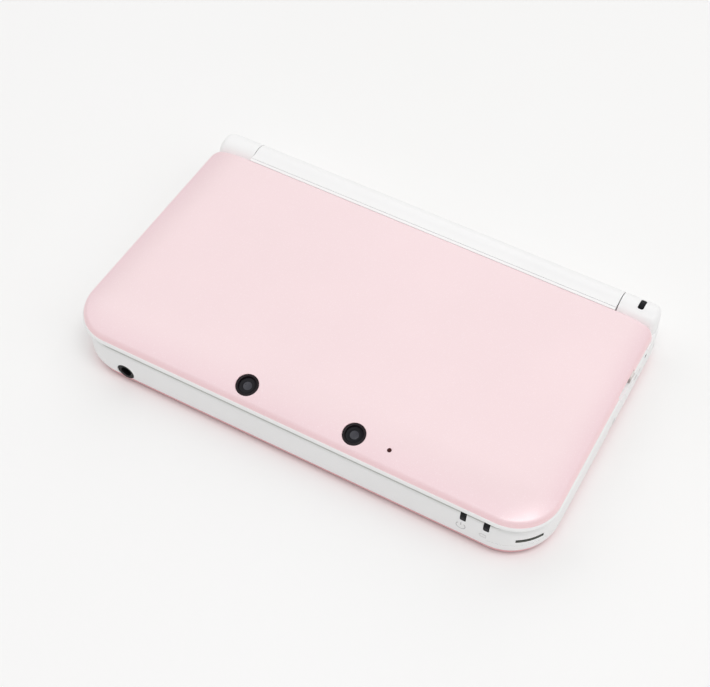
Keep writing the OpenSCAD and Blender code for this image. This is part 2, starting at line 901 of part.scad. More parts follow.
module notification_led_window() {
    color(black)
        intersection() {
            notification_guide(0);
            rod_x(barrel_r, knuckle_x, half_w, axis_y, axis_z);
        }
}

// Small window at the top of the right wall, grown by a gap
module wireless_guide(gap) {
    low = base_h - wireless_size[1] - gap;
    translate([base_half - wall - 1, wireless_y - wireless_size[0] / 2 - gap, low])
        cube([wall + 2, wireless_size[0] + 2 * gap, wireless_size[1] + 1]);
}

module wireless_led_window() {
    color(black)
        intersection() {
            wireless_guide(0);
            base_outside();
        }
}

module strap_bar() {
    color(steel)
        translate([base_half - base_r, base_front + base_r, strap_z])
            rotate(strap_from + strap_turn / 2)
                translate([strap_mid_r, 0, -strap_h / 2 - 0.75])
                    cylinder(r = strap_post_r, h = strap_h + 1.5);
}

module stylus_sleeve() {
    x1 = base_half - 2 * wall;
    x0 = base_half - stylus_len - 3;
    color(grey)
        difference() {
            rod_x(stylus_r + stylus_gap + sleeve_t, x0, x1, stylus_y, stylus_z);
            rod_x(stylus_r + stylus_gap, x0 + 1, x1 + 1, stylus_y, stylus_z);
        }
}

module stylus() {
    head = 6;
    x1 = base_half - 0.3;
    color(white)
        difference() {
            translate([x1 - stylus_len, stylus_y, stylus_z])
                rotate([0, 90, 0]) rotate_extrude() polygon([[0, 0], [0.5, 0.1], [0.9, 0.8],
                    [stylus_r - 0.3, 7], [stylus_r - 0.3, stylus_len - head], [stylus_r, stylus_len - head],
                    [stylus_r, stylus_len - 0.5], [stylus_r - 0.5, stylus_len], [0, stylus_len]]);
            translate([x1 - 3, stylus_y - 3.4, stylus_z - 3]) cube([1.2, 2, 6]);
        }
}

// ---- Circle pad and direction pad ----

pad_box = 24;
carriage_z = 8.5;
carriage_t = 1;
foot_t = 0.6;

module circle_pad_housing() {
    box_z = 7.2;
    skin = 0.8;
    ledge = 2;
    color(black)
        translate([-control_x, upper_y, box_z])
            difference() {
                translate([-pad_box / 2, -pad_box / 2, 0]) cube([pad_box, pad_box, dish_z - 1.15 - box_z]);
                translate([-pad_box / 2 + skin, -pad_box / 2 + skin, carriage_z - part_gap - box_z])
                    cube([pad_box - 2 * skin, pad_box - 2 * skin, base_h]);
                translate([-pad_box / 2 + skin, -pad_box / 2 + skin + ledge, skin / 2])
                    cube([pad_box - 2 * skin, pad_box - 2 * skin - 2 * ledge, base_h]);
            }
}

// Crosswise slide under the circle pad, with the lengthwise slot for its stem
module circle_pad_carriage() {
    size_x = 16;
    size_y = pad_box - 2;
    color(grey)
        translate([-control_x, upper_y, carriage_z])
            difference() {
                translate([-size_x / 2, -size_y / 2, 0]) cube([size_x, size_y, carriage_t]);
                translate([0, 0, -1])
                    linear_extrude(carriage_t + 2)
                        square([2 * stem_r + 0.2, 2 * stem_r + 2 * pad_travel + 0.3], center = true);
            }
}

module circle_pad() {
    rim_t = 1;
    color(grey)
        translate([-control_x, upper_y, 0])
            difference() {
                union() {
                    translate([0, 0, dish_z + 0.2])
                        rotate_extrude() {
                            square([pad_r - 0.8, cap_z - dish_z - 0.2]);
                            square([pad_r, cap_z - dish_z - 1]);
                            translate([pad_r - 0.8, cap_z - dish_z - 1]) quarter(0.8, 0);
                        }
                    translate([0, 0, carriage_z - 0.5]) cylinder(r = stem_r, h = dish_z - carriage_z + 1);
                    translate([0, 0, carriage_z - 0.2 - foot_t])
                        cylinder(r = stem_r + 1.2, h = foot_t);
                    translate([0, 0, carriage_z - 0.2 - foot_t / 2]) cylinder(r = stem_r, h = 1);
                }
                translate([0, 0, cap_z + 26 - rim_t / 2]) sphere(r = 26);
            }
}

// Rubber sheet on the board under the direction pad
module d_pad_mat() {
    color(grey)
        translate([-control_x, lower_y, board_top + 0.02]) cylinder(r = cross_span / 2, h = 0.18);
}

// Bar on which the direction pad rocks sideways, and which rocks lengthwise itself
module d_pad_rocker() {
    rocker_w = 5;
    color(grey)
        translate([-control_x - rocker_w / 2, lower_y - cross_span / 2 + 0.5, board_top + 0.7])
            cube([rocker_w, cross_span - 1, 0.4]);
}

module d_pad() {
    flange_low = board_top + 1.3;
    flange_thin = 0.7;
    cross_z = base_h + cross_proud;
    dimple_r = 5;
    color(black)
        translate([-control_x, lower_y, 0]) {
            translate([0, 0, flange_low]) cylinder(r = cross_span / 2 + 0.5, h = flange_thin);
            difference() {
                translate([0, 0, flange_low + flange_thin / 2])
                    linear_extrude(cross_z - flange_low - flange_thin / 2) cross_outline(0);
                translate([0, 0, cross_z + dimple_r - 0.5]) sphere(r = dimple_r);
            }
        }
}

// ---- Press buttons ----

// Round cap with the flange that keeps it under the deck
module round_key(r) {
    translate([0, 0, flange_z]) cylinder(r = r + flange_w, h = flange_t);
    translate([0, 0, flange_z + flange_t / 2])
        rotate_extrude() {
            square([r - 0.5, cap_z - flange_z - flange_t / 2]);
            square([r, cap_z - flange_z - flange_t / 2 - 0.5]);
            translate([r - 0.5, cap_z - flange_z - flange_t / 2 - 0.5]) quarter(0.5, 0);
        }
}

// One of the four round buttons, at its place in the group
module face_button(a) {
    color(white)
        translate([control_x + button_pitch * cos(a), upper_y + button_pitch * sin(a), 0])
            round_key(button_r);
}

// One of the wide keys under the lower screen
module wide_key(i) {
    color(white)
        translate([i * key_pitch, row_y, 0]) {
            translate([0, 0, flange_z])
                linear_extrude(flange_t) pill(key_w + 1, key_d + 1, key_d / 2 + 0.5);
            translate([0, 0, flange_z + flange_t / 2])
                linear_extrude(base_h + 0.3 - flange_z - flange_t / 2) pill(key_w, key_d, key_d / 2);
        }
}

module button_a() { face_button(0); }
module button_x() { face_button(90); }
module button_y() { face_button(180); }
module button_b() { face_button(270); }
module button_select() { wide_key(-1); }
module button_home() { wide_key(0); }
module button_start() { wide_key(1); }

module button_power() {
    color(white)
        translate([control_x, power_y, 0]) round_key(power_r);
}

// Rubber sheet under the four round buttons
module button_mat() {
    dome_r = 3;
    mat_z = board_top + 0.02;
    dome_h = flange_z - button_travel - 0.1 - mat_z;
    color(grey)
        translate([control_x, upper_y, mat_z]) {
            cylinder(r = button_pitch + dome_r + 0.6, h = dome_h / 2);
            for (a = [0:90:270])
                rotate(a) translate([button_pitch, 0, 0])
                    cylinder(r1 = dome_r, r2 = dome_r - 0.8, h = dome_h);
        }
}

// ---- Triggers and side switches ----

module trigger(side) {
    color(white)
        difference() {
            union() {
                intersection() {
                    trigger_zone(side, 0);
                    difference() {
                        base_form();
                        base_form(wall);
                    }
                }
                translate([side * trigger_pin_x, trigger_pin_y, trigger_z])
                    cylinder(r = trigger_boss_r, h = trigger_h);
            }
            translate([side * trigger_pin_x, trigger_pin_y, trigger_z - 1])
                cylinder(r = trigger_pin_r + run_gap, h = trigger_h + 2);
        }
}

module trigger_left() { trigger(-1); }
module trigger_right() { trigger(1); }

module trigger_pins() {
    color(steel)
        for (side = [-1, 1])
            translate([side * trigger_pin_x, trigger_pin_y, floor_z + 0.03])
                cylinder(r = trigger_pin_r, h = trigger_z + trigger_h + 0.8 - floor_z);
}

// Knob of a slide switch, with upright grooves in its outer face
module grip(size) {
    groove = 0.3;
    difference() {
        cube(size);
        for (y = [size[1] / 2 - 3 * groove:2 * groove:size[1] / 2 + 3 * groove])
            translate([-1, y - groove / 2, -1]) cube([1.15, groove, size[2] + 2]);
    }
}

module volume_slider() {
    color(white) {
        translate([-base_half + 0.1, volume_y - volume_knob / 2, volume_z - 0.9])
            grip([0.45, volume_knob, 1.8]);
        translate([-base_half + 0.3, volume_y - 1, volume_z - 0.5]) cube([wall + 0.2, 2, 1]);
        translate([-base_half + wall + 0.15, volume_y - 2.5, volume_z - 1.3]) cube([0.8, 5, 2.6]);
    }
}

module wireless_switch() {
    color(white) {
        translate([base_half - 0.1, switch_y + switch_knob / 2, switch_z - 0.7])
            rotate(180) grip([0.45, switch_knob, 1.4]);
        translate([base_half - wall - 0.5, switch_y - 0.6, switch_z - 0.4]) cube([wall + 0.2, 1.2, 0.8]);
        translate([base_half - wall - 0.95, switch_y - 1.8, switch_z - 1]) cube([0.8, 3.6, 2]);
    }
}

// ---- Hinge ----

module hinge_shaft() {
    color(steel) {
        rod_x(shaft_r, barrel_half - cartridge_len + 9, knuckle_x + 1, axis_y, axis_z);
        rod_x(shaft_r + 0.7, knuckle_x + 0.1, half_w - 4.2, axis_y, axis_z);
    }
}

module hinge_cartridge() {
    x1 = barrel_half - 0.2;
    color(steel)
        difference() {
            rod_x(cartridge_r, x1 - cartridge_len, x1, axis_y, axis_z);
            rod_x(shaft_r + run_gap, x1 - cartridge_len + 8, x1 + 1, axis_y, axis_z);
        }
}

module hinge_pin() {
    color(steel)
        difference() {
            rod_x(tube_r, -half_w + 3.8, -barrel_half + 7.8, axis_y, axis_z);
            rod_x(tube_r - 0.8, -half_w + 2, -barrel_half + 9, axis_y, axis_z);
        }
}

// Flat cable that winds inside the barrel and runs forward into the lid
module display_flex() {
    roll_r = 3.5;
    strip_z = shell_z + 0.55;
    color(gold) {
        difference() {
            rod_x(roll_r, -barrel_half + 10, -barrel_half + 26, axis_y, axis_z);
            rod_x(roll_r - 1, -barrel_half + 9, -barrel_half + 27, axis_y, axis_z);
        }
        translate([-barrel_half + 11, lid_rear_y - 4, strip_z])
            cube([12, axis_y - lid_rear_y + 4 - sqrt(pow(roll_r, 2) - pow(strip_z - axis_z, 2)) + 0.3, 0.25]);
    }
}

// ---- Lid ----

// Room that the lid's rear corners leave for the knuckles
module knuckle_clearance() {
    for (x = [-half_w - 1, barrel_half])
        rod_x(swing_r, x, x + half_w - barrel_half + 1, axis_y, axis_z);
}

upper_w = min(view_w, body_w - 49);
upper_d = min(view_d, body_d - 28.5);
window_w = upper_w + 9;
window_d = upper_d + 4.5;
window_t = 0.7;
upper_lcd_t = 2;
view_y = -2.5;
speaker_x = half_w - 12;
speaker_size = [11, 21];
speaker_y = 2;

// Slot in the lid's right side for the depth slider, with a dish around it
module slider_cuts() {
    translate([shell_half - 0.8, slider_y - slider_knob / 2 - slider_travel - 0.3, slider_z - 1.1])
        cube([3, slider_knob + slider_travel + 0.6, 2.2]);
    translate([shell_half - shell_t - 0.5, slider_y - 1 - slider_travel - 0.3, slider_z])
        cube([3, slider_travel + 2.6, 0.7]);
}

module lid_frame() {
    ledge_z = top_z - 0.35;
    color(white)
        difference() {
            union() {
                translate([0, 0, rim_z])
                    linear_extrude(rim_h)
                        plan(half_w, front_y, lid_rear_y, front_r, lid_rear_r);
                rod_x(barrel_r, -barrel_half, barrel_half, axis_y, axis_z);
                translate([-barrel_half, lid_rear_y + 0.1, rim_z])
                    cube([2 * barrel_half, axis_y - lid_rear_y - 1, ledge_z - rim_z]);
                translate([-barrel_half, lid_rear_y - 0.3, rim_z])
                    cube([2 * barrel_half, 1, rim_h]);
            }
            // Inner face, sunk below the rim
            translate([0, 0, rim_z - 1])
                linear_extrude(1 + face_drop)
                    plan(half_w - 4, front_y + 4, lid_rear_y - 1.2, front_r - 4, 2);
            // Seat and opening of the screen window
            translate([0, view_y, face_z - 1])
                linear_extrude(1 + window_t + 0.05) pill(window_w + 0.2, window_d + 0.2, 1.6);
            translate([0, view_y, face_z])
                linear_extrude(rim_h) pill(upper_w, upper_d, 0.8);
            // Groove between the cover and the barrel
            translate([-barrel_half - 1, lid_rear_y + 1.1, ledge_z - 0.35])
                cube([2 * barrel_half + 2, 0.2, 2]);
            knuckle_clearance();
            slider_cuts();
            // Sound holes
            for (side = [-1, 1], i = [-2:2], j = [-1:1])
                translate([side * speaker_x + j * 2.4, speaker_y + i * 2.6, rim_z])
                    cylinder(r = 0.7, h = rim_h + 1);
            translate([0, camera_y + 0.4, rim_z]) cylinder(r = 1.4, h = rim_h + 1);
            for (p = lid_screw_places) {
                translate([p[0], p[1], rim_z]) cylinder(r = lid_screw_r + 0.1, h = rim_h + 1);
                translate([p[0], p[1], rim_z]) cylinder(r = 1.9, h = face_drop + 0.8);
            }
            // Seats of the cartridge, the hollow pin and the flat cable
            rod_x(cartridge_r + 0.03, barrel_half - cartridge_len - 0.4, barrel_half + 1, axis_y, axis_z);
            rod_x(tube_r + run_gap, -barrel_half - 1, -barrel_half + 9, axis_y, axis_z);
            rod_x(cartridge_r + 0.2, -barrel_half + 8, -barrel_half + 28, axis_y, axis_z);
            translate([-barrel_half + 10.6, lid_rear_y - 2, shell_z + 0.4])
                cube([12.8, axis_y - lid_rear_y, 0.6]);
        }
}

module lid_cover() {
    color(pink)
        difference() {
            union() {
                difference() {
                    cover_form(0, shell_z);
                    cover_form(shell_t, shell_z - 1);
                }
                intersection() {
                    cover_form(shell_t / 2, shell_z);
                    for (p = lid_screw_places)
                        translate([p[0], p[1], shell_z + 0.05]) cylinder(r = 2.2, h = shell_h);
                }
            }
            for (side = [-1, 1])
                on_slope(side * camera_pitch / 2)
                    translate([0, 0, -3]) cylinder(r = camera_r, h = 5);
            on_slope(sensor_x) translate([0, 0, -3]) cylinder(r = sensor_r, h = 5);
            for (p = lid_screw_places)
                translate([p[0], p[1], shell_z - 1]) cylinder(r = lid_screw_r + 0.03, h = 3.6);
            knuckle_clearance();
            slider_cuts();
            translate([-barrel_half + 10.6, lid_rear_y - 2, shell_z + 0.4]) cube([12.8, 3, 0.6]);
        }
}

module screen_window() {
    color(black)
        translate([0, view_y, face_z])
            linear_extrude(window_t) pill(window_w, window_d, 1.5);
}

module upper_lcd() {
    color(grey)
        translate([0, view_y, shell_z + 0.05])
            linear_extrude(upper_lcd_t)
                pill(upper_w + 2 * screen_margin, upper_d + 2 * screen_margin - 1, 0.8);
}

module speakers() {
    color(black)
        for (side = [-1, 1])
            translate([side * speaker_x, speaker_y, shell_z + 0.05])
                linear_extrude(1.9) pill(speaker_size[0], speaker_size[1], 3);
}

sensor_x = 28.7;
sensor_r = 0.65;

// Camera modules behind their windows
module outer_cameras() {
    color(black)
        for (side = [-1, 1])
            on_slope(side * camera_pitch / 2) {
                translate([0, 0, -1.9]) cylinder(r = 2.4, h = 0.8);
                translate([-2.6, -2.6, -2.05]) cube([5.2, 5.2, 0.5]);
            }
}

module camera_windows() {
    color(black)
        for (side = [-1, 1])
            on_slope(side * camera_pitch / 2)
                translate([0, 0, -1.05]) cylinder(r = camera_r - 0.05, h = 0.8);
}

module sensor_window() {
    color(black)
        on_slope(sensor_x) translate([0, 0, -1.15]) cylinder(r = sensor_r - 0.03, h = 1);
}

module inner_camera() {
    color(black)
        translate([0, camera_y + 0.4, 0]) {
            translate([0, 0, face_z + 0.1]) cylinder(r = 1.3, h = shell_z - face_z);
            translate([-2.5, -2.5, shell_z + 0.03]) cube([5, 5, 0.75]);
        }
}

module lid_bumpers() {
    color(grey)
        for (x = [-1, 1], y = [front_y + 9.5, lid_rear_y - 5])
            translate([x * (half_w - 8.5), y, rim_z - 0.1]) cylinder(r = 1.8, h = face_drop + 0.1);
}

module lid_screws() {
    color(steel)
        for (p = lid_screw_places)
            translate([p[0], p[1], face_z + 0.05])
                difference() {
                    union() {
                        cylinder(r = 1.7, h = 0.7);
                        cylinder(r = lid_screw_r, h = shell_z + 2.4 - face_z);
                    }
                    drive(1.7);
                }
}

module depth_slider() {
    color(white) {
        translate([shell_half + 0.2, slider_y + slider_knob / 2, slider_z - 0.9])
            rotate(180) grip([0.9, slider_knob, 1.8]);
        translate([shell_half - shell_t - 0.4, slider_y - 1, slider_z + 0.1]) cube([1, 2, 0.5]);
        translate([shell_half - shell_t - 1.1, slider_y - 3, shell_z + 0.05]) cube([0.9, 6, 0.55]);
    }
}

base_deck();
base_tray();
bottom_cover();
bottom_cover_screws();
housing_screws();
battery_pack();
mainboard();
lower_lcd();
touch_screen();
headphone_socket();
charging_socket();
charging_contacts();
ir_window();
game_card_connector();
sd_card_socket();
sd_card();
sd_slot_cover();
microphone();
front_led_windows();
notification_led_window();
wireless_led_window();
strap_bar();
stylus_sleeve();
stylus();
circle_pad_housing();
circle_pad_carriage();
circle_pad();
d_pad_mat();
d_pad_rocker();
d_pad();
button_mat();
button_a();
button_b();
button_x();
button_y();
button_select();
button_home();
button_start();
button_power();
trigger_left();
trigger_right();
trigger_pins();
volume_slider();
wireless_switch();
hinge_shaft();
hinge_pin();
hinge_cartridge();
display_flex();
lid_frame();
lid_cover();
screen_window();
upper_lcd();
speakers();
outer_cameras();
camera_windows();
sensor_window();
inner_camera();
lid_bumpers();
lid_screws();
depth_slider();
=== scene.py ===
"""Looks of a clamshell handheld game console, closed, on a pale table."""

import math

import bmesh
import bpy
from mathutils import Matrix, Vector


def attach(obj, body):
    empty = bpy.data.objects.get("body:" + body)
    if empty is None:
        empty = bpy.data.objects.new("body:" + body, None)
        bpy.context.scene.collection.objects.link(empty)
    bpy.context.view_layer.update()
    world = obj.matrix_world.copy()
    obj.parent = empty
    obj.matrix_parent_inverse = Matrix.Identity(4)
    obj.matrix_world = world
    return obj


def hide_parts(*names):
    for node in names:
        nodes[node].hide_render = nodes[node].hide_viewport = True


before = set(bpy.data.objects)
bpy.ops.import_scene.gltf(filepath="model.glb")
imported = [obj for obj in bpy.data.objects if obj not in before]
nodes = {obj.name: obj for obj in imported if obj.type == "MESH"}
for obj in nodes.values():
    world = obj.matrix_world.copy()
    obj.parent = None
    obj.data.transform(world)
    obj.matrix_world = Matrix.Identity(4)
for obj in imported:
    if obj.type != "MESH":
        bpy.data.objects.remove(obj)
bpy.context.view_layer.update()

MM = 0.001

# ---- Sizes repeated from the part, in millimetres ----
HALF_W = 78.0
FRONT_Y = -46.5
REAR_Y = 46.5
BASE_HALF = 77.6
BASE_FRONT = -46.1
BASE_H = 15.5
SHELL_HALF = 77.6
SHELL_FRONT = -46.1
SHELL_Z = 17.5
SHELL_T = 1.2
TOP_Z = 21.5
SHELL_R = 2.1
CROWN_W = 11.0
CROWN_DROP = 3.8
CROWN_R = (CROWN_W ** 2 + CROWN_DROP ** 2 - 2 * CROWN_W * SHELL_R) / (2 * (CROWN_DROP - SHELL_R))
LIP_R = 2.5
SHELL_FR = 13.6
LID_REAR_Y = 35.65
LID_REAR_R = 3.0
SLOPE_R = 37.0
SLOPE_Y = -31.3
CAMERA_Y = -40.7
CAMERA_TILT = math.asin((SLOPE_Y - CAMERA_Y) / SLOPE_R)
CAMERA_Z = TOP_Z - SLOPE_R + SLOPE_R * math.cos(CAMERA_TILT)
CAMERA_X = 17.5
CAMERA_R = 3.45
SENSOR_X = 28.7
SENSOR_R = 0.65
SLIDER_Z = SHELL_Z + 0.1
BASE_R = 15.5
BASE_REAR_R = 8.0
RIM_Z = 15.8
RIM_FR = 14.0
LEDGE = 0.4
STRAP_Z = 9.5

# ---- Sizes of this script's own, in millimetres ----
# Rounding of the base's top edge: depth into the wall, and height.
BRIM_D = 1.4
BRIM_H = 3.0
# Undercut of the lid's rim: how far up it reaches, and how far in.
RIM_LIFT = 0.7
UNDER_R = 1.6
# Painted shade in the front groove: full as far back as SEAM_FULL_Y and gone at SEAM_END_Y. On the base it
# starts at the height SEAM_LOW.
SEAM_FULL_Y = -36.0
SEAM_END_Y = -20.0
SEAM_LOW = 14.6
# Height and depth of the pink strip at the foot of the walls, whose deeper pink is painted shade.
FOOT_TOP = 3.0
FOOT_D = 2.6
# A painted band stops this far from a flat face that borders it.
FACE_GAP = 0.02


# ---- Camera ----

def make_camera():
    """The camera fitted to the photograph: its axes, and its place in metres."""
    data = bpy.data.cameras.new("camera")
    data.sensor_fit = "HORIZONTAL"
    data.sensor_width = 36
    data.lens = 71.356
    data.shift_x = -0.0802
    data.shift_y = 0.0072
    data.clip_start = 0.01
    data.clip_end = 20
    obj = bpy.data.objects.new("camera", data)
    right = Vector((0.88360, 0.46735, 0.02878))
    down = Vector((0.38550, -0.69121, -0.61124))
    fwd = Vector((-0.26578, 0.55119, -0.79092))
    rot = Matrix((right, -down, -fwd)).transposed()
    obj.matrix_world = Matrix.Translation(Vector((0.12693, -0.23303, 0.34571))) @ rot.to_4x4()
    bpy.context.scene.collection.objects.link(obj)
    bpy.context.scene.camera = obj


make_camera()


# ---- Materials ----

def srgb(*c):
    """Linear colour of an sRGB colour given as 0 to 255."""
    out = [(v / 255 / 12.92) if v / 255 <= 0.04045 else ((v / 255 + 0.055) / 1.055) ** 2.4 for v in c]
    return (*out, 1.0)


class Look:
    """One material, with short calls for the nodes that every finish here is made of."""

    def __init__(self, name):
        self.mat = bpy.data.materials.new(name)
        self.mat.use_nodes = True
        self.tree = self.mat.node_tree
        self.tree.nodes.clear()
        self.out = self.add("ShaderNodeOutputMaterial")
        self.bsdf = self.add("ShaderNodeBsdfPrincipled")
        self.link(self.bsdf, 0, self.out, 0)
        self.coord = self.add("ShaderNodeTexCoord")

    def add(self, kind, **values):
        node = self.tree.nodes.new(kind)
        for key, value in values.items():
            setattr(node, key, value)
        return node

    def link(self, a, out, b, inp):
        self.tree.links.new(a.outputs[out], b.inputs[inp])

    def put(self, **values):
        """Sets inputs of the surface, written with underscores for spaces."""
        for key, value in values.items():
            self.bsdf.inputs[key.replace("_", " ")].default_value = value

    def noise(self, scale, detail=2.0, rough=0.5, stretch=None):
        node = self.add("ShaderNodeTexNoise")
        node.inputs["Scale"].default_value = scale
        node.inputs["Detail"].default_value = detail
        node.inputs["Roughness"].default_value = rough
        source, slot = self.coord, "Object"
        if stretch:
            mapping = self.add("ShaderNodeMapping")
            mapping.inputs["Scale"].default_value = stretch
            self.link(source, slot, mapping, "Vector")
            source, slot = mapping, "Vector"
        self.link(source, slot, node, "Vector")
        return node

    def cells(self, scale):
        node = self.add("ShaderNodeTexVoronoi")
        node.inputs["Scale"].default_value = scale
        self.link(self.coord, "Object", node, "Vector")
        return node

    def axes(self, output):
        """The X, Y and Z of one output of the coordinate node."""
        node = self.add("ShaderNodeSeparateXYZ")
        self.link(self.coord, output, node, 0)
        return node

    def ramp(self, node, out, low, high, start=0.3, end=0.7):
        ramp = self.add("ShaderNodeValToRGB")
        ramp.color_ramp.elements[0].position = start
        ramp.color_ramp.elements[1].position = end
        ramp.color_ramp.elements[0].color = low
        ramp.color_ramp.elements[1].color = high
        self.link(node, out, ramp, "Fac")
        return ramp

    def remap(self, node, out, low, high, start=0.3, end=0.7):
        remap = self.add("ShaderNodeMapRange")
        remap.inputs["From Min"].default_value = start
        remap.inputs["From Max"].default_value = end
        remap.inputs["To Min"].default_value = low
        remap.inputs["To Max"].default_value = high
        self.link(node, out, remap, "Value")
        return remap

    def bump(self, node, out, height, strength=1.0, before=None):
        bump = self.add("ShaderNodeBump")
        bump.inputs["Strength"].default_value = strength
        bump.inputs["Distance"].default_value = height
        self.link(node, out, bump, "Height")
        if before:
            self.link(before, "Normal", bump, "Normal")
        return bump

    def mix(self, factor, a, b):
        """Mixes two colours by a factor; the factor, and a colour that isn't plain, is (node, output)."""
        node = self.add("ShaderNodeMix", data_type="RGBA")
        self.link(*factor, node, 0)
        for source, slot in ((a, 6), (b, 7)):
            if isinstance(source[0], (int, float)):
                node.inputs[slot].default_value = source
            else:
                self.link(*source, node, slot)
        return node, 2


def shade(c, k):
    """A colour made lighter or darker by a factor."""
    return (c[0] * k, c[1] * k, c[2] * k, 1.0)


def moulded(name, colour, rough=0.4, vary=0.02, grain=4200, depth=0.000006, rough_vary=0.04, **extra):
    """Injection-moulded plastic: faint clouding, patches of polish and a fine spark-eroded grain."""
    look = Look(name)
    cloud = look.noise(38, 3, 0.55)
    tone = look.ramp(cloud, 0, shade(colour, 1 - vary), shade(colour, 1 + vary / 2))
    look.link(tone, 0, look.bsdf, "Base Color")
    polish = look.noise(160, 4, 0.6)
    look.link(look.remap(polish, 0, rough - rough_vary, rough + rough_vary), 0, look.bsdf, "Roughness")
    fine = look.noise(grain, 2, 0.6)
    flow = look.noise(26, 1, 0.4)
    slow = look.bump(flow, 0, 0.00004, 0.35)
    look.link(look.bump(fine, 0, depth, 0.6, slow), 0, look.bsdf, "Normal")
    look.put(**extra)
    return look


PINK = srgb(246, 221, 224)
# Deeper pinks for the sloping front and for the sides, painted shade.
PINK_SLOPE_SHADE = srgb(244, 215, 220)
PINK_SIDE_SHADE = srgb(249, 213, 217)
WHITE = srgb(246, 246, 246)
# Painted shade for the front groove between lid and base.
SEAM_SHADE = srgb(206, 207, 203)
BACKGROUND = srgb(247, 247, 247)


def make_pink():
    """Pale pink housing: painted shade that makes tilted faces a deeper pink, fine flakes and a satin coat.
    """
    look = Look("pink_pearl_plastic")
    facing = look.axes("Normal")
    # Painted shade: the pink deepens as a face tilts away from straight up.
    tilt_shade = look.ramp(facing, "Z", PINK_SIDE_SHADE, PINK, 0.6, 0.995)
    slope = tilt_shade.color_ramp.elements.new(0.94)
    slope.color = PINK_SLOPE_SHADE
    cloud = look.noise(30, 3, 0.5)
    shadow = look.ramp(cloud, 0, (0.985, 0.985, 0.985, 1), (1.01, 1.01, 1.01, 1))
    tone = look.add("ShaderNodeMix", data_type="RGBA", blend_type="MULTIPLY")
    tone.inputs[0].default_value = 1.0
    look.link(tilt_shade, 0, tone, 6)
    look.link(shadow, 0, tone, 7)
    flakes = look.cells(5200)
    flake_tone = look.ramp(flakes, "Color", (0, 0, 0, 1), (0.6, 0.6, 0.6, 1), 0.75, 1.0)
    base = look.mix((flake_tone, 0), (tone, 2), srgb(255, 236, 240))
    look.link(*base, look.bsdf, "Base Color")
    polish = look.noise(120, 4, 0.6)
    look.link(look.remap(polish, 0, 0.36, 0.44), 0, look.bsdf, "Roughness")
    fine = look.noise(3600, 2, 0.6)
    slow = look.bump(look.noise(22, 1, 0.4), 0, 0.00005, 0.3)
    look.link(look.bump(fine, 0, 0.000005, 0.5, slow), 0, look.bsdf, "Normal")
    look.put(Coat_Weight=1.0, Coat_Roughness=0.3, Coat_IOR=1.6)
    return look


def make_glass_panel(name, half_x, half_y, mid_y, inner, border):
    """Dark glossy panel whose display area, seen through it, is a little lighter than its printed border."""
    look = Look(name)
    split = look.axes("Object")
    soft = 0.00006
    masks = []
    for axis, centre, half in ((0, 0.0, half_x), (1, mid_y, half_y)):
        shift = look.add("ShaderNodeMath", operation="SUBTRACT")
        look.link(split, axis, shift, 0)
        shift.inputs[1].default_value = centre
        size = look.add("ShaderNodeMath", operation="ABSOLUTE")
        look.link(shift, 0, size, 0)
        masks.append(look.remap(size, 0, 1, 0, half - soft, half + soft))
    both = look.add("ShaderNodeMath", operation="MULTIPLY")
    look.link(masks[0], 0, both, 0)
    look.link(masks[1], 0, both, 1)
    haze = look.noise(60, 3, 0.6)
    lit = look.ramp(haze, 0, shade(inner, 0.9), shade(inner, 1.1))
    base = look.mix((both, 0), border, (lit, 0))
    look.link(*base, look.bsdf, "Base Color")
    smudge = look.noise(90, 4, 0.65)
    look.link(look.remap(smudge, 0, 0.05, 0.12), 0, look.bsdf, "Roughness")
    look.link(look.bump(look.noise(1500, 2, 0.5), 0, 0.000002, 0.3), 0, look.bsdf, "Normal")
    look.put(IOR=1.5)
    return look


def metal(name, colour, rough, brush=(1, 1, 1)):
    """Metal with a grain in its tone and polish, stretched where it is brushed."""
    look = Look(name)
    grain = look.noise(900, 4, 0.6, brush)
    tone = look.ramp(grain, 0, shade(colour, 0.86), shade(colour, 1.06))
    look.link(tone, 0, look.bsdf, "Base Color")
    look.link(look.remap(grain, 0, rough - 0.06, rough + 0.08), 0, look.bsdf, "Roughness")
    look.link(look.bump(grain, 0, 0.000006, 0.4), 0, look.bsdf, "Normal")
    look.put(Metallic=1.0)
    return look


def make_board():
    """Green solder mask with a fine net of tracks and bright pads."""
    look = Look("circuit_board_green")
    tracks = look.add("ShaderNodeTexBrick")
    look.link(look.coord, "Object", tracks, "Vector")
    tracks.inputs["Scale"].default_value = 260
    tracks.inputs["Mortar Size"].default_value = 0.06
    tracks.inputs["Color1"].default_value = srgb(18, 84, 52)
    tracks.inputs["Color2"].default_value = srgb(24, 96, 60)
    tracks.inputs["Mortar"].default_value = srgb(52, 128, 84)
    look.link(tracks, "Color", look.bsdf, "Base Color")
    look.link(look.remap(look.noise(300), 0, 0.32, 0.5), 0, look.bsdf, "Roughness")
    look.link(look.bump(tracks, "Fac", 0.00003, 0.4), 0, look.bsdf, "Normal")
    return look


def make_slider_look():
    """Depth slider: grey at its front end and pale behind; the grey is painted shade where it sits in its
    recess.
    """
    look = moulded("pale_slider_plastic_painted_shade", srgb(112, 106, 104), 0.4, 0.05, 3600, 0.000005, 0.05)
    # Painted shade: darker towards the slider's front end.
    recess_shade = look.ramp(look.axes("Generated"), "Y", srgb(138, 129, 124), srgb(236, 229, 226), 0.12, 0.42)
    look.link(recess_shade, 0, look.bsdf, "Base Color")
    return look


def make_seam_shade_look():
    """Painted shade in the front groove between lid and base: a darker white that fades out behind the front
    corners.
    """
    look = moulded("white_seam_painted_shade", SEAM_SHADE, 0.5, 0.02, 4200, 0.000005, 0.04)
    behind = look.remap(look.axes("Object"), "Y", 0.0, 1.0, SEAM_FULL_Y * MM, SEAM_END_Y * MM)
    fade = look.ramp(behind, "Result", SEAM_SHADE, WHITE, 0.0, 1.0)
    look.link(fade, 0, look.bsdf, "Base Color")
    return look


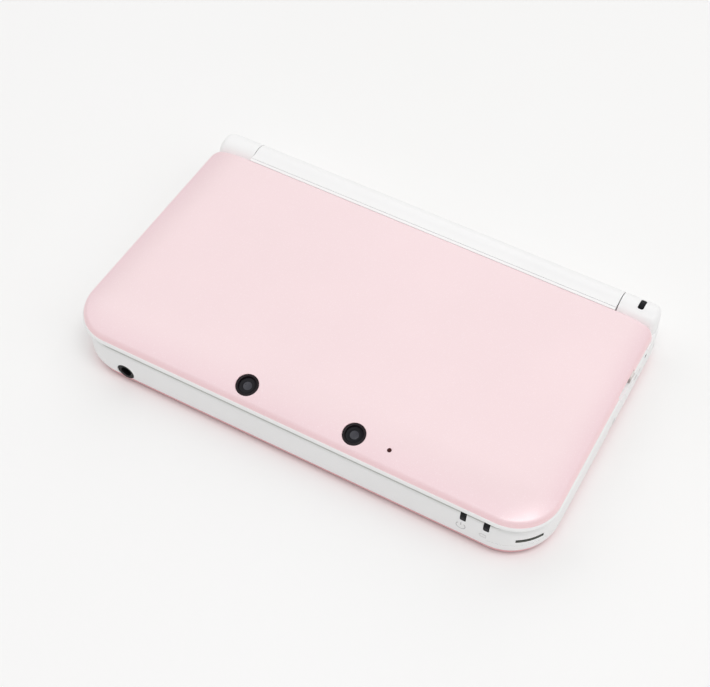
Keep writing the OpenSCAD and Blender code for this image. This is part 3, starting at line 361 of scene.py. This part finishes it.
pink_look = make_pink()
# The bottom cover's pink, made deeper as painted shade where the housing meets the table.
edge_shade_look = moulded("deep_pink_edge_painted_shade", srgb(239, 180, 185), 0.4, 0.02, 4200, 0.000005, 0.04)
switch_look = moulded("pale_grey_switch_plastic", srgb(206, 202, 198), 0.4, 0.03, 3600, 0.000005, 0.05)
white_look = moulded("white_satin_plastic", WHITE, 0.38, 0.012, 4200, 0.000005, 0.04,
                     Coat_Weight=0.15, Coat_Roughness=0.25)
trim_look = moulded("white_trim_plastic", srgb(238, 238, 237), 0.34, 0.015, 5200, 0.000004, 0.04)
key_look = moulded("white_key_plastic", srgb(236, 236, 234), 0.3, 0.02, 5200, 0.000003, 0.05,
                   Coat_Weight=0.3, Coat_Roughness=0.12)
grey_look = moulded("grey_matt_plastic", srgb(150, 152, 156), 0.55, 0.03)
black_look = moulded("black_matt_plastic", srgb(24, 24, 26), 0.42, 0.1, 4200, 0.000006, 0.06,
                     Specular_IOR_Level=0.15)
dark_look = moulded("dark_glossy_window", srgb(24, 25, 28), 0.16, 0.12, 2600, 0.000002, 0.04,
                    Specular_IOR_Level=0.12)
rubber_look = moulded("grey_grip_rubber", srgb(138, 140, 146), 0.62, 0.05, 2400, 0.00002, 0.06)
slider_look = make_slider_look()
seam_shade_look = make_seam_shade_look()
# Painted shade inside the strap slot.
pocket_shade_look = moulded("grey_pocket_painted_shade", srgb(112, 114, 108), 0.6, 0.06, 3600, 0.000008, 0.05)
silicone_look = moulded("grey_silicone", srgb(176, 178, 180), 0.5, 0.04, 2200, 0.00001, 0.06)
battery_look = moulded("dark_battery_film", srgb(70, 72, 76), 0.5, 0.06)
flex_look = moulded("amber_flex_film", srgb(196, 132, 60), 0.35, 0.08)
touch_look = make_glass_panel("touch_screen_film", 0.0408, 0.0306, -0.001, srgb(40, 42, 44), srgb(12, 12, 13))
view_look = make_glass_panel("view_window_glass", 0.0533, 0.0320, -0.0025, srgb(34, 35, 40), srgb(10, 10, 11))
frame_look = metal("display_frame_metal", srgb(176, 178, 182), 0.4)
steel_look = metal("stamped_steel", srgb(186, 188, 192), 0.32, (1, 14, 1))
contact_look = metal("gold_contact", srgb(222, 184, 104), 0.25)
board_look = make_board()
bezel_look = moulded("lens_bezel_satin", srgb(24, 15, 20), 0.42, 0.1, 3000, 0.000003, 0.05,
                     Specular_IOR_Level=0.25)
disc_look = moulded("lens_window_coated", srgb(22, 21, 26), 0.2, 0.1, 1800, 0.000001, 0.03,
                    Specular_IOR_Level=0.2)
glass_look = moulded("dark_lens_glass", srgb(44, 44, 54), 0.3, 0.1, 1800, 0.000001, 0.03,
                     Specular_IOR_Level=0.62)
sensor_look = moulded("light_sensor_window", srgb(62, 22, 20), 0.25, 0.1, 1800, 0.000001, 0.04,
                      Specular_IOR_Level=0.3)
icon_look = moulded("pale_grey_icon_ink", srgb(198, 198, 198), 0.5, 0.03)

LOOKS = {
    pink_look: ["lid_cover", "bottom_cover"],
    white_look: ["base_deck", "base_tray", "lid_frame", "sd_slot_cover", "trigger_left", "trigger_right"],
    trim_look: ["volume_slider", "stylus"],
    switch_look: ["wireless_switch"],
    slider_look: ["depth_slider"],
    key_look: ["button_a", "button_b", "button_x", "button_y", "button_select", "button_home", "button_start",
               "button_power", "d_pad"],
    grey_look: ["stylus_sleeve", "circle_pad_carriage", "d_pad_rocker"],
    black_look: ["headphone_socket", "charging_socket", "sd_card", "circle_pad_housing", "speakers",
                 "outer_cameras", "inner_camera"],
    dark_look: ["front_led_windows", "notification_led_window", "wireless_led_window", "ir_window"],
    sensor_look: ["sensor_window"],
    glass_look: ["camera_windows"],
    touch_look: ["touch_screen"],
    view_look: ["screen_window"],
    frame_look: ["lower_lcd", "upper_lcd"],
    steel_look: ["bottom_cover_screws", "housing_screws", "game_card_connector", "sd_card_socket",
                 "microphone", "strap_bar", "trigger_pins", "hinge_shaft", "hinge_pin", "hinge_cartridge",
                 "lid_screws"],
    contact_look: ["charging_contacts"],
    flex_look: ["display_flex"],
    board_look: ["mainboard"],
    battery_look: ["battery_pack"],
    rubber_look: ["circle_pad"],
    silicone_look: ["d_pad_mat", "button_mat", "lid_bumpers"],
}
for look, names in LOOKS.items():
    for name in names:
        slots = nodes[name].material_slots
        if not slots:
            nodes[name].data.materials.append(look.mat)
        for slot in slots:
            slot.material = look.mat


# ---- Mesh helpers ----

def mesh_object(name, verts, faces, look, smooth=True):
    """A piece from points in millimetres."""
    mesh = bpy.data.meshes.new(name)
    mesh.from_pydata([Vector(v) * MM for v in verts], [], faces)
    mesh.update()
    mesh.validate()
    obj = bpy.data.objects.new(name, mesh)
    bpy.context.scene.collection.objects.link(obj)
    if smooth:
        mesh.shade_smooth()
    obj.data.materials.append(look.mat)
    return obj


def apply_modifiers(obj):
    """Bakes an object's modifiers into its mesh."""
    bpy.context.view_layer.update()
    evaluated = obj.evaluated_get(bpy.context.evaluated_depsgraph_get())
    mesh = bpy.data.meshes.new_from_object(evaluated)
    old = obj.data
    obj.modifiers.clear()
    obj.data = mesh
    bpy.data.meshes.remove(old)


def cut(obj, cutter):
    """Cuts one object out of another, and removes the cutter."""
    mod = obj.modifiers.new("cut", "BOOLEAN")
    mod.operation = "DIFFERENCE"
    mod.solver = "EXACT"
    mod.object = cutter
    apply_modifiers(obj)
    bpy.data.objects.remove(cutter)


def edit_mesh(mesh, *edits):
    """Runs edits on a mesh as a bmesh and writes it back."""
    bm = bmesh.new()
    bm.from_mesh(mesh)
    for edit in edits:
        edit(bm)
    bm.to_mesh(mesh)
    bm.free()


def weld(distance):
    """An edit that merges points closer than a distance in metres."""
    return lambda bm: bmesh.ops.remove_doubles(bm, verts=bm.verts, dist=distance)


def face_outwards(bm):
    bmesh.ops.recalc_face_normals(bm, faces=bm.faces)


def face_up(bm):
    """Turns an open skin over where most of it faces down."""
    if sum(f.normal.z * f.calc_area() for f in bm.faces) < 0:
        bmesh.ops.reverse_faces(bm, faces=bm.faces)


def smooth_by_angle(obj, degrees):
    """Smooth shading with edges sharper than an angle left sharp."""
    limit = math.radians(degrees)

    def mark(bm):
        for edge in bm.edges:
            edge.smooth = not (len(edge.link_faces) == 2 and edge.calc_face_angle(0) > limit)

    obj.data.shade_smooth()
    edit_mesh(obj.data, mark)


def lathe(name, profile, look, steps=64, place=Matrix.Identity(4)):
    """A closed turned form: profile of (radius, height) from the axis and back to it, in millimetres."""
    verts, faces, rings = [], [], []
    for r, h in profile:
        if r < 1e-6:
            rings.append([len(verts)])
            verts.append((0, 0, h))
        else:
            rings.append(list(range(len(verts), len(verts) + steps)))
            verts += [(r * math.cos(2 * math.pi * i / steps), r * math.sin(2 * math.pi * i / steps), h)
                      for i in range(steps)]
    for a, b in zip(rings, rings[1:]):
        for i in range(steps):
            j = (i + 1) % steps
            if len(a) == 1 and len(b) > 1:
                faces.append((a[0], b[i], b[j]))
            elif len(b) == 1 and len(a) > 1:
                faces.append((a[i], b[0], a[j]))
            elif len(a) > 1:
                faces.append((a[i], b[i], b[j], a[j]))
    verts = [place @ Vector(v) for v in verts]
    obj = mesh_object(name, verts, faces, look)
    edit_mesh(obj.data, face_outwards)
    return obj


def box_cutter(low, high):
    """A box to cut with, between two corners in millimetres."""
    (x0, y0, z0), (x1, y1, z1) = low, high
    verts = [(x, y, z) for z in (z0, z1) for x, y in ((x0, y0), (x1, y0), (x1, y1), (x0, y1))]
    faces = [(3, 2, 1, 0), (4, 5, 6, 7), (0, 1, 5, 4), (1, 2, 6, 5), (2, 3, 7, 6), (3, 0, 4, 7)]
    return mesh_object("cutter", verts, faces, pink_look, smooth=False)


def on_slope(x, lift=0.0):
    """Place on the sloping front of the lid, with +Z standing out of its surface."""
    return (Matrix.Translation((x, CAMERA_Y, CAMERA_Z)) @ Matrix.Rotation(CAMERA_TILT, 4, "X")
            @ Matrix.Translation((0, 0, lift)))


# ---- Lid cover ----

def outline(half, front, rear, fr, rr, corner_steps, gap):
    """Stations round a rounded rectangle, anticlockwise from the rear right. Each gives its point at an
    inset, its outward normal and its share of the way from the side (0) to the front (-1) or rear (1)."""
    corners = [(1, 1, rr, 0), (-1, 1, rr, 90), (-1, -1, fr, 180), (1, -1, fr, 270)]

    def point(corner, angle, inset):
        sx, sy, r, _ = corner
        left = max(r - inset, 0.05)
        cx = sx * (half - inset - left)
        cy = rear - inset - left if sy > 0 else front + inset + left
        return cx + left * math.cos(angle), cy + left * math.sin(angle)

    stations = []
    for n, corner in enumerate(corners):
        start = math.radians(corner[3])
        for i in range(corner_steps + 1):
            t = i / corner_steps
            a = start + math.pi / 2 * t
            turn = t if n in (0, 2) else 1 - t
            share = turn if n < 2 else -turn
            stations.append((lambda d, c=corner, a=a: point(c, a, d), (math.cos(a), math.sin(a)), share))
        follow = corners[(n + 1) % 4]
        a = start + math.pi / 2
        p, q = point(corner, a, 0), point(follow, a, 0)
        count = max(2, round(math.hypot(q[0] - p[0], q[1] - p[1]) / gap))
        for i in range(1, count):
            def between(d, c=corner, f=follow, a=a, t=i / count):
                p, q = point(c, a, d), point(f, a, d)
                return p[0] + (q[0] - p[0]) * t, p[1] + (q[1] - p[1]) * t
            stations.append((between, (math.cos(a), math.sin(a)), (1, 0, -1, 0)[n]))
    return stations


def ease(t):
    """Smooth step from 0 to 1."""
    return t * t * (3 - 2 * t)


def slope_height(y):
    """Height of the lid cover along its middle."""
    if y >= SLOPE_Y:
        return TOP_Z
    return TOP_Z - SLOPE_R + math.sqrt(SLOPE_R ** 2 - (SLOPE_Y - y) ** 2)


def top_height(x, y):
    """Height of the lid cover, lowered along its sides by the crowned band."""
    cx, cy = SHELL_HALF - SHELL_FR, SHELL_FRONT + SHELL_FR
    side, weight = SHELL_HALF - abs(x), 1.0
    if y < cy:
        if abs(x) <= cx:
            return slope_height(y)
        side = SHELL_FR - math.hypot(abs(x) - cx, y - cy)
        weight = 1 - ease(math.atan2(cy - y, abs(x) - cx) / (math.pi / 2))
    if side >= CROWN_W:
        return slope_height(y)
    drop = CROWN_R - math.sqrt(CROWN_R ** 2 - (CROWN_W - max(side, 0)) ** 2)
    return slope_height(y) - weight * drop


def edge_line(place, normal, r, arc_steps):
    """Section through the cover's edge: its wall, then an arc that meets the top tangentially.
    Gives points (inset, height) and the inset at which the arc ends."""
    def height(d):
        x, y = place(0)
        return top_height(x - normal[0] * d, y - normal[1] * d)

    def lean(d):
        return math.atan((height(d + 0.01) - height(max(d - 0.01, 0))) / (0.02 if d > 0.01 else d + 0.01))

    low, high = 0.0, r
    for _ in range(30):
        mid = (low + high) / 2
        if mid + r * math.sin(lean(mid)) < r:
            low = mid
        else:
            high = mid
    turn = lean(low)
    mid_z = height(low) - r * math.cos(turn)
    start = math.asin(min(1.0, (SHELL_Z - mid_z) / r)) if mid_z < SHELL_Z else 0.0
    line = [(r - r * math.cos(start), SHELL_Z)]
    for k in range(arc_steps + 1):
        a = start + (math.pi / 2 - turn - start) * k / arc_steps
        line.append((r - r * math.cos(a), mid_z + r * math.sin(a)))
    return line, low


def cut_lid_openings(obj):
    """Camera and sensor holes with a rounded edge, and the depth slider's shallow track with its slot."""
    for x, r in ((-CAMERA_X, CAMERA_R), (CAMERA_X, CAMERA_R), (SENSOR_X, SENSOR_R)):
        lip = 0.28 if r > 1 else 0.12
        round_in = [(r + lip * (1 - math.cos(math.radians(a))), -lip + lip * math.sin(math.radians(a)))
                    for a in range(0, 91, 15)]
        profile = [(0, -3), (r, -3)] + round_in + [(r + lip, 2), (0, 2)]
        cut(obj, lathe("cutter", profile, pink_look, 96, on_slope(x)))
    track_depth, track_front, track_rear, track_half = 0.8, 8.2, 19.7, 1.1
    cut(obj, box_cutter((SHELL_HALF - track_depth, track_front, SLIDER_Z - track_half),
                        (SHELL_HALF + 2, track_rear, SLIDER_Z + track_half)))
    slot_depth, slot_front, slot_rear, slot_h = 2, 9.3, 18.9, 0.7
    cut(obj, box_cutter((SHELL_HALF - slot_depth, slot_front, SLIDER_Z),
                        (SHELL_HALF + 1, slot_rear, SLIDER_Z + slot_h)))


def make_lid_shell():
    """The pink lid cover as one skin, its edge rounding flowing from the sides into front and rear."""
    arc_steps, inner_steps, spine_steps = 12, 12, 24
    reach, crowding = 12.6, 1.3
    rear_edge_r = 0.7
    spine_half, spine_share, spine_y = 34.0, 0.45, -4.0
    verts, faces = [], []
    stations = outline(SHELL_HALF, SHELL_FRONT, LID_REAR_Y, SHELL_FR, LID_REAR_R, 24, 1.6)
    for place, normal, share in stations:
        target = LIP_R if share < 0 else rear_edge_r
        r = SHELL_R + (target - SHELL_R) * ease(abs(share))
        line, reached = edge_line(place, normal, r, arc_steps)
        x0, y0 = place(0)
        ring = [(x0 - normal[0] * d, y0 - normal[1] * d, z) for d, z in line]
        for k in range(1, inner_steps + 1):
            x, y = place(reached + (reach - reached) * (k / inner_steps) ** crowding)
            ring.append((x, y, top_height(x, y)))
        x0, y0 = ring[-1][:2]
        spine_x = max(-spine_half, min(spine_half, x0 * spine_share))
        for k in range(1, spine_steps + 1):
            t = k / spine_steps
            x, y = x0 + (spine_x - x0) * t, y0 + (spine_y - y0) * t
            ring.append((x, y, top_height(x, y)))
        verts += ring
    rows = len(verts) // len(stations)
    n = len(stations)
    for i in range(n):
        j = (i + 1) % n
        for k in range(rows - 1):
            faces.append((i * rows + k, i * rows + k + 1, j * rows + k + 1, j * rows + k))
    obj = mesh_object("lid_shell", verts, faces, pink_look)
    edit_mesh(obj.data, weld(0.00002), face_outwards, face_up)
    solid = obj.modifiers.new("wall", "SOLIDIFY")
    solid.thickness = SHELL_T * MM
    solid.offset = -1
    solid.use_even_offset = False
    apply_modifiers(obj)
    cut_lid_openings(obj)
    smooth_by_angle(obj, 38)
    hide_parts("lid_cover")
    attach(obj, "lid")


make_lid_shell()


# ---- Housing edges ----

def own_copy(node, name, looks):
    """A piece that starts as a copy of a CAD node's mesh, welded and placed in the part's frame."""
    source = nodes[node]
    mesh = source.data.copy()
    mesh.transform(source.matrix_world)
    edit_mesh(mesh, weld(0.000001))
    if "custom_normal" in mesh.attributes:
        mesh.attributes.remove(mesh.attributes["custom_normal"])
    obj = bpy.data.objects.new(name, mesh)
    bpy.context.scene.collection.objects.link(obj)
    mesh.materials.clear()
    for look in looks:
        mesh.materials.append(look.mat)
    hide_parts(node)
    return obj


def sweep(name, run, profile, look, closed):
    """A profile of (inset, height) carried along stations, closed round or capped at both ends."""
    verts, faces, n, m = [], [], len(profile), len(run)
    for place in run:
        verts += [(*place(d), z) for d, z in profile]
    for i in range(m if closed else m - 1):
        j = (i + 1) % m
        for k in range(n):
            q = (k + 1) % n
            faces.append((i * n + k, i * n + q, j * n + q, j * n + k))
    if not closed:
        faces += [tuple(range(n))[::-1], tuple(range((m - 1) * n, m * n))]
    obj = mesh_object(name, verts, faces, look, smooth=closed)
    edit_mesh(obj.data, face_outwards)
    return obj


def edge_cutter(half, front, fr, profile, rear_stop=30.0):
    """A strip to cut with, along the front and both sides of a housing as far back as rear_stop."""
    rear_r = 3.0
    stations = [place for place, _, _ in outline(half, front, REAR_Y, fr, rear_r, 28, 2.0)]
    start = next(i for i, place in enumerate(stations) if place(0)[0] < 0 and place(0)[1] < rear_stop)
    run = [place for place in stations[start:] if place(0)[1] < rear_stop]
    return sweep("cutter", run, profile, white_look, closed=False)


def paint(obj, look, test):
    """Gives the faces whose centre, in millimetres, passes the test to another of the piece's looks."""
    slot = obj.data.materials.find(look.mat.name)
    for face in obj.data.polygons:
        if test(*(face.center / MM)):
            face.material_index = slot


def base_inset(x, y):
    """Distance inwards from the wall of the base near its front corners."""
    cx, cy = BASE_HALF - BASE_R, BASE_FRONT + BASE_R
    dx, dy = max(abs(x) - cx, 0), max(cy - y, 0)
    return BASE_R - math.hypot(dx, dy)


def base_inset_any(x, y):
    """Distance inwards from the wall of the base anywhere along it."""
    side = min(BASE_HALF - abs(x), y - BASE_FRONT, REAR_Y - y)
    cy = BASE_FRONT + BASE_R
    if abs(x) > BASE_HALF - BASE_R and y < cy:
        return min(side, base_inset(x, y))
    return side


def in_strap_pocket(x, y, z):
    """Inside the strap slot at the front right corner, behind the wall's outer skin, where painted shade
    goes.
    """
    corner_x, corner_y, half_h, skin, depth = 55, -28, 2.6, 0.45, 6
    return (x > corner_x and y < corner_y and abs(z - STRAP_Z) < half_h
            and skin < base_inset(x, y) < depth)


def in_base_seam(x, y, z):
    """Rounded top edge of the base along the front, which takes the groove's painted shade."""
    return y < SEAM_END_Y and SEAM_LOW < z < BASE_H - FACE_GAP and base_inset_any(x, y) < BRIM_D


def in_rim_seam(x, y, z):
    """Undercut of the lid's rim along the front, which takes the groove's painted shade."""
    return y < SEAM_END_Y and RIM_Z + FACE_GAP < z < RIM_Z + RIM_LIFT and base_inset_any(x, y) < UNDER_R


def in_foot(x, y, z):
    """Foot of the tray's walls, which takes the pink of the bottom cover, deepened as painted shade."""
    return z < FOOT_TOP and base_inset_any(x, y) < FOOT_D


def round_base_edge():
    """Rounds the top edge of the base along the front and sides, with the lamp windows that lie in it."""
    arc = [(BRIM_D - BRIM_D * math.cos(math.radians(a)), BASE_H - BRIM_H + BRIM_H * math.sin(math.radians(a)))
           for a in range(90, -1, -6)]
    outside, over = -0.6, 0.7
    brim = [(outside, BASE_H - BRIM_H), (outside, BASE_H + over), (BRIM_D, BASE_H + over)] + arc
    for node, name, look in (("base_deck", "base_deck_shell", white_look),
                             ("front_led_windows", "front_led_lenses", dark_look),
                             ("wireless_led_window", "wireless_led_guide", white_look)):
        obj = own_copy(node, name, [look, pocket_shade_look, seam_shade_look])
        cut(obj, edge_cutter(BASE_HALF, BASE_FRONT, BASE_R, brim, rear_stop=34.5))
        if node == "base_deck":
            # Painted shade on the base's rounded edge in the front groove.
            paint(obj, seam_shade_look, in_base_seam)
            # Painted shade inside the strap slot.
            paint(obj, pocket_shade_look, in_strap_pocket)
        smooth_by_angle(obj, 32)
        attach(obj, "base")


def round_lid_rim():
    """Rounds the lid's white rim towards the pink cover and undercuts it towards the base."""
    rise = SHELL_Z - RIM_Z - RIM_LIFT
    r = (rise ** 2 + LEDGE ** 2) / (2 * LEDGE)
    arc = [(r - math.sqrt(r * r - (rise * k / 8) ** 2), SHELL_Z - rise + rise * k / 8)
           for k in range(8, -1, -1)]
    outside, over, below = -0.6, 0.6, 0.5
    rim = [(outside, SHELL_Z - rise), (outside, SHELL_Z + over), (LEDGE, SHELL_Z + over)] + arc
    under = [(UNDER_R - UNDER_R * math.cos(math.radians(a)),
              RIM_Z + RIM_LIFT - RIM_LIFT * math.sin(math.radians(a))) for a in range(0, 91, 10)]
    under += [(UNDER_R, RIM_Z - below), (outside, RIM_Z - below), (outside, RIM_Z + RIM_LIFT)]
    obj = own_copy("lid_frame", "lid_frame_shell", [white_look, seam_shade_look])
    cut(obj, edge_cutter(HALF_W, FRONT_Y, RIM_FR, rim))
    cut(obj, edge_cutter(HALF_W, FRONT_Y, RIM_FR, under))
    # Painted shade on the rim's undercut in the front groove.
    paint(obj, seam_shade_look, in_rim_seam)
    smooth_by_angle(obj, 32)
    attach(obj, "lid")


def paint_tray():
    """Paints shade into the tray's strap slot, and a pink strip at the foot of its walls whose deeper pink is
    painted shade.
    """
    def split(bm):
        bmesh.ops.bisect_plane(bm, geom=bm.verts[:] + bm.edges[:] + bm.faces[:], dist=0.0000001,
                               plane_co=(0, 0, FOOT_TOP * MM), plane_no=(0, 0, 1))

    obj = own_copy("base_tray", "base_tray_shell", [white_look, pocket_shade_look, edge_shade_look])
    edit_mesh(obj.data, split)
    # Painted shade inside the strap slot.
    paint(obj, pocket_shade_look, in_strap_pocket)
    # Painted shade: the foot strip takes the deeper pink.
    paint(obj, edge_shade_look, in_foot)
    smooth_by_angle(obj, 32)
    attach(obj, "base")


def make_cover_brim():
    """The turned-up edge of the pink bottom cover, tucked under the white shell all the way round, in a
    deeper pink that is painted shade.
    """
    profile = [(1.62, 2.32), (1.47, 2.2), (1.45, 1.7), (1.52, 1.2), (1.78, 0.72), (2.25, 0.34), (3.0, 0.1),
               (3.9, 0.02), (5.2, 0.0), (5.2, 1.2), (2.6, 2.32)]
    run = [place for place, _, _ in outline(BASE_HALF, BASE_FRONT, REAR_Y, BASE_R, BASE_REAR_R, 20, 3.0)]
    obj = sweep("bottom_cover_brim", run, profile, edge_shade_look, closed=True)
    smooth_by_angle(obj, 40)
    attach(obj, "base")


def make_side_led():
    """The wireless lamp's window, following the rounded top edge of the base."""
    low, tall, front, rear = 12.6, 2.7, 29.9, 31.05
    proud, sunk = 0.04, 0.25
    verts, faces, n = [], [], 9
    for k in range(n):
        z = low + tall * k / (n - 1)
        x = BASE_HALF - BRIM_D + BRIM_D * math.sqrt(1 - (max(z - BASE_H + BRIM_H, 0) / BRIM_H) ** 2)
        verts += [(x + proud, front, z), (x + proud, rear, z), (x - sunk, rear, z), (x - sunk, front, z)]
    for k in range(n - 1):
        faces += [(4 * k + i, 4 * k + (i + 1) % 4, 4 * k + 4 + (i + 1) % 4, 4 * k + 4 + i) for i in range(4)]
    faces += [(3, 2, 1, 0), (4 * n - 4, 4 * n - 3, 4 * n - 2, 4 * n - 1)]
    obj = mesh_object("wireless_led_lens", verts, faces, dark_look)
    smooth_by_angle(obj, 30)
    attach(obj, "base")


def make_wall_mark(name, look, strokes):
    """A symbol on the front wall, of strokes of (points on the wall, width). A stroke is closed where it
    ends at its start."""
    sunk, proud = 0.04, 0.05
    verts, faces = [], []
    for points, width in strokes:
        closed, start, m = points[0] == points[-1], len(verts), len(points)
        for i, (x, z) in enumerate(points):
            a = points[i - 1 if i else (-2 if closed else 0)]
            b = points[i + 1 if i < m - 1 else (1 if closed else i)]
            d = Vector((b[0] - a[0], b[1] - a[1])).normalized() * width / 2
            for y in (BASE_FRONT + sunk, BASE_FRONT - proud):
                verts += [(x - d.y, y, z + d.x), (x + d.y, y, z - d.x)]
        for i in range(m - 1):
            q = start + 4 * i
            faces += [(q + a, q + b, q + b + 4, q + a + 4) for a, b in ((0, 2), (2, 3), (3, 1), (1, 0))]
        if not closed:
            q = start + 4 * (m - 1)
            faces += [(start, start + 1, start + 3, start + 2), (q, q + 2, q + 3, q + 1)]
    obj = mesh_object(name, verts, faces, look, smooth=False)
    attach(obj, "base")


def make_wall_symbols():
    """A power ring with its bar, and the outline of a battery with its pole."""
    x, z, r, width = 54.25, 8.6, 1.4, 0.26
    ring = [(x + r * math.cos(math.radians(a)), z + r * math.sin(math.radians(a)))
            for a in range(130, 411, 10)]
    make_wall_mark("power_symbol", icon_look, [(ring, width), ([(x, 8.9), (x, 10.2)], width)])
    left, right, low, high, width = 60.2, 62.0, 8.0, 9.3, 0.12
    cell = [(left, low), (right, low), (right, high), (left, high), (left, low)]
    make_wall_mark("battery_symbol", icon_look, [(cell, width), ([(59.95, 8.4), (59.95, 8.9)], width)])


round_base_edge()
round_lid_rim()
paint_tray()
make_cover_brim()
make_side_led()
make_wall_symbols()


# ---- Cameras ----

def make_camera_window(side, x):
    """Window plate behind one camera hole: satin bezel, sunken coated disc, and the lens in its middle."""
    place = on_slope(x)
    cup = lathe(f"camera_bezel_{side}",
                [(0, -1.05), (3.4, -1.05), (3.4, -0.36), (3.36, -0.27), (3.28, -0.23), (2.86, -0.23),
                 (2.76, -0.27), (2.7, -0.37), (2.66, -0.92), (0, -0.92)],
                bezel_look, 96, place)
    disc = lathe(f"camera_disc_{side}", [(0, -0.9), (1.34, -0.9), (1.38, -0.86), (1.44, -0.85), (2.5, -0.85),
                                         (2.56, -0.87), (2.6, -0.91), (0, -0.91)][::-1], disc_look, 96, place)
    rim = math.radians(24)
    dome = [(1.3 * math.sin(math.radians(a)) / math.sin(rim),
             -0.9 + 3.2 * (math.cos(math.radians(a)) - math.cos(rim)) * 0.35) for a in range(24, -1, -3)]
    lens = lathe(f"camera_lens_{side}", [(0, -0.905), (1.3, -0.905)] + dome, glass_look, 64, place)
    for obj in (cup, disc, lens):
        smooth_by_angle(obj, 35)
        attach(obj, "lid")
    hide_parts("camera_windows")


for side, x in (("left", -CAMERA_X), ("right", CAMERA_X)):
    make_camera_window(side, x)


# ---- Table, light and background ----

def make_stage():
    """The table, which blends into the background with its distance for the camera alone."""
    look = Look("table_paper")
    cloud = look.noise(3, 3, 0.5)
    look.link(look.ramp(cloud, 0, srgb(246, 246, 245), srgb(248, 248, 248)), 0, look.bsdf, "Base Color")
    look.put(Roughness=0.9, Specular_IOR_Level=0.1)
    far = look.add("ShaderNodeVectorMath", operation="LENGTH")
    look.link(look.coord, "Object", far, 0)
    reach = look.remap(far, "Value", 0, 1, 0.5, 1.1)
    path = look.add("ShaderNodeLightPath")
    share = look.add("ShaderNodeMath", operation="MULTIPLY")
    look.link(reach, "Result", share, 0)
    look.link(path, "Is Camera Ray", share, 1)
    distance = look.add("ShaderNodeEmission")
    distance.inputs["Color"].default_value = BACKGROUND
    fade = look.add("ShaderNodeMixShader")
    look.link(share, 0, fade, 0)
    look.link(look.bsdf, 0, fade, 1)
    look.link(distance, 0, fade, 2)
    look.link(fade, 0, look.out, "Surface")
    size = 3000
    floor = mesh_object("table_top", [(-size, -size, 0), (size, -size, 0), (size, size, 0), (-size, size, 0)],
                        [(0, 1, 2, 3)], look)


def area_light(name, place, size, power, size_y=None):
    """A rectangular lamp aimed at the object: place and sizes in metres, power in watts."""
    data = bpy.data.lights.new(name, "AREA")
    data.shape = "RECTANGLE"
    data.size = size
    data.size_y = size_y or size
    data.energy = power
    obj = bpy.data.objects.new(name, data)
    obj.location = place
    obj.rotation_euler = (Vector((0, 0, 0)) - Vector(place)).to_track_quat("-Z", "Y").to_euler()
    bpy.context.scene.collection.objects.link(obj)


def make_light():
    """Three softboxes, a narrow one over the front right corner, and an even fill all round."""
    for name, place, size, power in (
            ("softbox_rear", (-0.189, 1.344, 1.023), 1.6, 4.9),
            ("softbox_left", (-1.093, 0, 1.302), 1.5, 4.8),
            ("softbox_right", (1.093, 0, 1.302), 1.4, 5.2)):
        area_light(name, place, size, power)
    area_light("softbox_corner", (0.331, -0.363, 1.628), 1.0, 7.9, 0.28)
    world = bpy.data.worlds.new("studio")
    bpy.context.scene.world = world
    world.use_nodes = True
    tree = world.node_tree
    tree.nodes.clear()
    out = tree.nodes.new("ShaderNodeOutputWorld")
    fill = tree.nodes.new("ShaderNodeBackground")
    fill.inputs["Color"].default_value = (1.0, 0.99, 0.985, 1)
    fill.inputs["Strength"].default_value = 0.461
    seen = tree.nodes.new("ShaderNodeBackground")
    seen.inputs["Color"].default_value = BACKGROUND
    seen.inputs["Strength"].default_value = 1.0
    path = tree.nodes.new("ShaderNodeLightPath")
    mix = tree.nodes.new("ShaderNodeMixShader")
    tree.links.new(path.outputs["Is Camera Ray"], mix.inputs[0])
    tree.links.new(fill.outputs[0], mix.inputs[1])
    tree.links.new(seen.outputs[0], mix.inputs[2])
    tree.links.new(mix.outputs[0], out.inputs[0])


make_stage()
make_light()
bpy.context.scene.view_settings.view_transform = "Standard"
